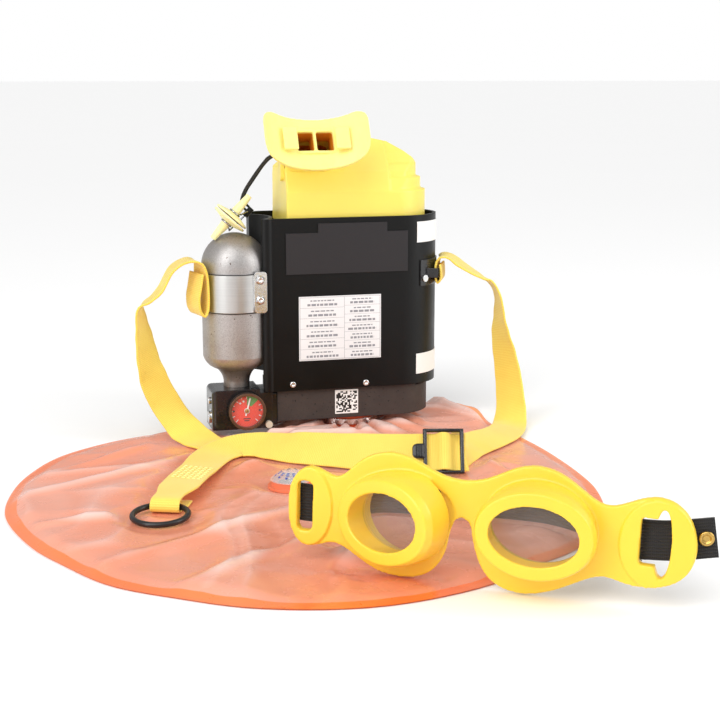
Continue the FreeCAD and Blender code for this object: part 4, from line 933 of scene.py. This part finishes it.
def white_label_print():
    """A ruled table with plain bars where the print would be."""
    rules, bars = [], []
    left, right, low, high, split = -23.2, 35.8, 57.0, 102.0, 9.4
    for z in (low, high):
        rules.append((left, z - 0.1, right, z + 0.1))
    for x in (left, split, right):
        rules.append((x - 0.1, low, x + 0.1, high))
    rng = random.Random(7)
    for x0, x1, rows in ((left, split, 6), (split, right, 7)):
        pitch = (high - low) / rows
        for k in range(rows):
            z = low + pitch * k
            rules.append((x0, z - 0.08, x1, z + 0.08))
            for z_bar, share, height in ((0.62, 0.52, 0.9), (0.18, 0.74, 1.6)):
                length = (x1 - x0) * (share + rng.uniform(-0.12, 0.08))
                x = x0 + (x1 - x0 - length) / 2
                end = x + length
                while x < end:
                    step = rng.uniform(1.4, 3.6)
                    bars.append((x, z + pitch * z_bar, min(end, x + step), z + pitch * z_bar + height))
                    x += step + 0.7
    strips("label_rules", rules, -32.43, "rule")
    strips("label_bars", bars, -32.43, "rule")


def square_label_print():
    """A made-up pattern of small squares."""
    rng = random.Random(11)
    cells, n = [], 15
    pitch = 15.6 / n
    for i in range(n):
        for j in range(n):
            if rng.random() < 0.52:
                x, z = 3.85 + pitch * i, 16.1 + pitch * j
                cells.append((x, z, x + pitch, z + pitch))
    strips("square_label_cells", cells, -29.43, "ink")


white_label_print()
square_label_print()


# ---- screws and clamp ----
FORWARD = (0, -1, 0)
SCREW_HEAD = ((0.0, 0.35), (0.7, 0.35), (0.95, 0.95), (1.5, 1.15), (2.1, 0.8), (2.4, 0.15),
              (2.4, -0.2))
turned_piece("shroud_screw_heads", [(SCREW_HEAD, (x, -32.0, z), FORWARD, 24)
                                    for x, z in ((-28.8, 39.3), (25.5, 37.9))],
             "bright", "unit", ("shroud_screws",))


def clamp_screws():
    """Round-headed screws with washers on the band's clamp plate."""
    head = ((0.0, 0.9), (0.8, 0.9), (1.0, 1.5), (1.7, 1.9), (2.3, 1.5), (2.6, 0.8), (2.6, 0.4),
            (3.3, 0.35), (3.3, 0.0), (0.0, 0.0))
    shank = ((0.0, 0.0), (1.2, 0.0), (1.2, -2.4), (0.0, -2.4))
    turnings = []
    for z in (102.3, 116.5):
        place = (-52.4, -36.0, z)
        turnings += [(head, place, FORWARD, 32), (shank, place, FORWARD, 20)]
    turned_piece("clamp_screws", turnings, "bright", "unit", ("band_bolts",))


clamp_screws()


def band_liner():
    """The dark edge of the rubber strip under the band."""
    parts = []
    for z0, z1 in ((92.7, 93.5), (120.0, 120.6)):
        parts.append(turned(((23.9, z0), (24.6, z0), (24.7, (z0 + z1) / 2), (24.6, z1), (23.9, z1)),
                            (-66.4, -12.0, 0.0), (0, 0, 1), 96))
    points, faces = joined(parts)
    faces = [f for f in faces if len(f) == 4]
    finished(mesh_piece("band_liner", points, faces, ["diaphragm"]), "unit")


band_liner()


# ---- relief valve print ----
def valve_print():
    parts = []
    for k in range(12):
        a = 2 * math.pi * k / 12
        for r0, r1, spread in ((6.2, 8.8, 0.13), (9.6, 10.8, 0.08)):
            points = []
            for r, b in ((r0, -spread), (r1, -spread * 0.8), (r1, spread * 0.8), (r0, spread)):
                z = -3.6 + math.sqrt(17.5 ** 2 - r * r) + 0.06
                points.append(Vector((-57 + r * math.cos(a + b), -161 + r * math.sin(a + b), z)))
            parts.append((points, [(0, 1, 2, 3)]))
    points, faces = joined(parts)
    finished(mesh_piece("valve_print", points, faces, ["blue"]), "unit", smooth=False)


valve_print()


# ---- breathing bag ----
OUTLINE = ((-233, -174), (-228, -123), (-216, -84), (-195, -46), (-159, -16), (-121, 0), (-84, 4),
           (-40, 14), (0, 25), (45, 34), (84, 36), (104, 24), (112, 6), (121, -25), (129, -70),
           (133.5, -114), (133, -180), (128, -215), (111, -263), (74, -311), (36, -334), (9, -352),
           (-38, -366), (-74, -366), (-118, -353), (-150, -332), (-182, -305), (-205, -266),
           (-220, -233))
MIDDLE = Vector((-50.0, -165.0, 0.0))
PORT = Vector((19.0, 0.0, 0.0))
AROUND, RINGS, WELD = 480, 120, 7.0
UNDER_BLOCK_TOP, FOLD_TOP, BACK_FOLD_TOP = 4.6, 9.3, 12.0


def outline_points():
    ring = [Vector((x, y, 0.0)) for x, y in OUTLINE]
    curve, places = smooth_path([ring[-1]] + ring + [ring[0], ring[1]], 2.0)
    loop = [p for p, s in zip(curve, places) if 1.0 <= s < len(ring) + 1.0]
    angles = [math.atan2(p.y - MIDDLE.y, p.x - MIDDLE.x) for p in loop]
    order = np.argsort(angles)
    angles = np.array(angles)[order]
    reach = np.array([(p - MIDDLE).length for p in loop])[order]
    wanted = np.linspace(-math.pi, math.pi, AROUND, endpoint=False)
    return wanted, np.interp(wanted, angles, reach, period=2 * math.pi)


def neighbours():
    """Low points of everything that lies on the bag, to keep the film's folds clear of."""
    low = []
    for obj, limit in ((strap_left, 14), (strap_right, 16), (elastic, 14)):
        low += [v.co / MM for v in obj.data.vertices if v.co.z < limit * MM]
    for key in ("goggle_frame", "pull_ring", "slider_buckle", "relief_body"):
        low += [v.co / MM for v in nodes[key].data.vertices if v.co.z < 14 * MM]
    tree = KDTree(len(low))
    for i, p in enumerate(low):
        tree.insert((p.x, p.y, 0.0), i)
    tree.balance()
    return tree


def ridged(p, sharp):
    return (1.0 - min(1.0, abs(noise.noise(p)) * sharp)) ** 2


HAND_FOLDS = (  # (start, end, half width, height): creases placed one by one
    ((92, 34), (128, -40), 9.0, 8.0), ((-128, -8), (-100, -2), 7.0, 5.0),
    ((-46, -38), (-6, -41), 6.0, 7.5), ((-34, -46), (18, -50), 5.0, 6.0),
    ((-225, -150), (-120, -90), 8.0, 3.0), ((-215, -205), (-120, -200), 7.0, 3.2),
    ((-190, -285), (-70, -215), 9.0, 3.4), ((-150, -325), (-30, -240), 8.0, 2.8),
    ((-205, -100), (-135, -40), 7.0, 3.0), ((-20, -200), (60, -230), 8.0, 2.8),
    ((-70, -350), (-40, -250), 9.0, 2.6), ((90, -150), (126, -200), 6.0, 2.6),
)


def fold_height(x, y):
    """Height of the film's folds over its flat level, before it is held down anywhere."""
    p = Vector((x, y, 0.0))
    spoke = p - PORT
    r = max(spoke.length, 1.0)
    angle = math.atan2(spoke.y, spoke.x)
    drift = noise.noise(p * 0.008) * 0.35
    spokes = ridged(Vector(((angle + drift) * 3.4, r * 0.0035, 2.7)), 2.0)
    facets = ridged(Vector((x * 0.010 + y * 0.007, y * 0.014 - x * 0.004, 9.1)), 2.0)
    creases = ridged(Vector((x * 0.035, y * 0.045, 4.4)), 2.2)
    height = 3.6 * spokes + 1.1 * facets + 0.2 * creases
    height += 1.1 * noise.noise(Vector((x * 0.010, y * 0.010, 1.0)))
    for (x0, y0), (x1, y1), half, tall in HAND_FOLDS:
        a, b = Vector((x0, y0, 0.0)), Vector((x1, y1, 0.0))
        t = max(0.0, min(1.0, (p - a).dot(b - a) / (b - a).length_squared))
        bend = noise.noise(Vector((x * 0.02, y * 0.02, 5.5))) * 5.0
        far = abs((p - a.lerp(b, t)).length + bend * 0.4)
        height += tall * math.exp(-(far / half) ** 2 * 2.0) * (0.55 + 0.45 * math.sin(math.pi * t))
    gather = math.exp(-((r - 42.0) / 16.0) ** 2)
    pleats = 0.5 + 0.5 * math.cos(angle * 17.0 + 3.0 * noise.noise(p * 0.03))
    return height + gather * (1.5 + 4.5 * pleats)


def bag():
    angles, reach = outline_points()
    tree = neighbours()
    block = (Vector((-90, -33, 0)), Vector((-37, 3, 0)))
    fractions = [j / RINGS for j in range(RINGS + 1)]
    points, fold_highlight, picks = [], [], []
    grid = []
    for j, f in enumerate(fractions):
        ring = []
        for a, full in zip(angles, reach):
            inner = full - WELD
            r = inner * f
            x, y = MIDDLE.x + r * math.cos(a), MIDDLE.y + r * math.sin(a)
            ring.append((x, y, full - r))
        grid.append(ring)
    for k in range(1, 6):
        grid.append([(MIDDLE.x + (full - WELD + WELD * k / 5) * math.cos(a),
                          MIDDLE.y + (full - WELD + WELD * k / 5) * math.sin(a), WELD * (1 - k / 5))
                         for a, full in zip(angles, reach)])
    for ring in grid:
        for x, y, edge in ring:
            _, _, near = tree.find((x, y, 0.0))
            free = ease(near, 1.5, 15.0)
            port = math.hypot(x - PORT.x, y - PORT.y)
            rise = fold_height(x, y)
            held = free * ease(edge, 0.0, 16.0)
            over_block = block[0].x < x < block[1].x and block[0].y < y < block[1].y
            top = UNDER_BLOCK_TOP if over_block else FOLD_TOP
            if x > 84 and y > -60:
                held = max(held, free * ease(edge, -4.0, 5.0))
                top = BACK_FOLD_TOP
            z = 0.9 + 1.2 * ease(edge, 1.0, 14.0) + held * rise
            z += 0.35 * noise.noise(Vector((x * 0.06, y * 0.06, 7.7))) * ease(edge, 0.0, 5.0)
            if port < 28.0:
                z = min(z, 2.1 + (z - 2.1) * ease(port, 24.5, 28.0))
            points.append(Vector((x, y, min(z, top))))
            # taller fold ridges get more painted highlight on the film
            fold_highlight.append(held * ease(rise, 2.5, 7.0))
    n = AROUND
    faces = []
    count = len(grid)
    for j in range(1, count - 1):
        for k in range(n):
            q = (k + 1) % n
            faces.append((j * n + k, (j + 1) * n + k, (j + 1) * n + q, j * n + q))
            picks.append(1 if j >= RINGS else 0)
    faces += [tuple(n + k for k in range(n))]
    picks.append(0)
    obj = mesh_piece("bag_film_upper", points, faces, ["film", "rim"], picks=picks)
    layer = obj.data.attributes.new("fold_highlight", "FLOAT", "POINT")
    layer.data.foreach_set("value", np.array(fold_highlight, dtype=np.float32))
    tidy_mesh(obj, n)
    finished(obj, "unit", ("bag_upper_film",))
    lower = []
    for f in (0.0001, 0.25, 0.5, 0.75, 0.94, 1.0):
        for a, full in zip(angles[::4], reach[::4]):
            lower.append(Vector((MIDDLE.x + (full - 0.4) * f * math.cos(a),
                                 MIDDLE.y + (full - 0.4) * f * math.sin(a), 0.35)))
    m = n // 4
    low_faces = [(j * m + k, (j + 1) * m + k, (j + 1) * m + (k + 1) % m, j * m + (k + 1) % m)
                 for j in range(5) for k in range(m)]
    under = mesh_piece("bag_film_lower", lower, low_faces, ["film_low"])
    finished(under, "unit", ("bag_lower_film",))


def tidy_mesh(obj, n):
    """Drops the unused centre ring and cuts the film away where the port and valve pass."""
    mesh = bmesh.new()
    mesh.from_mesh(obj.data)
    loose = [v for v in mesh.verts if not v.link_faces]
    bmesh.ops.delete(mesh, geom=loose, context="VERTS")
    inside = [f for f in mesh.faces
              if math.hypot(f.calc_center_median().x / MM - 19.0, f.calc_center_median().y / MM) < 22.0
              or math.hypot(f.calc_center_median().x / MM + 57.0,
                            f.calc_center_median().y / MM + 161.0) < 10.0]
    bmesh.ops.delete(mesh, geom=inside, context="FACES")
    mesh.to_mesh(obj.data)
    mesh.free()


bag()

# ---- floor ----
floor_mesh = bpy.data.meshes.new("floor")
floor_mesh.from_pydata([(-60, -60, 0), (60, -60, 0), (60, 60, 0), (-60, 60, 0)], [], [(0, 1, 2, 3)])
floor = add_object("floor", floor_mesh)
floor.data.materials.append(surface("pale_floor", "FEFEFE", 1.0, 0.002, 2.0, 300.0, 0.00002, 0.0,
                                    Specular_IOR_Level=0.0))
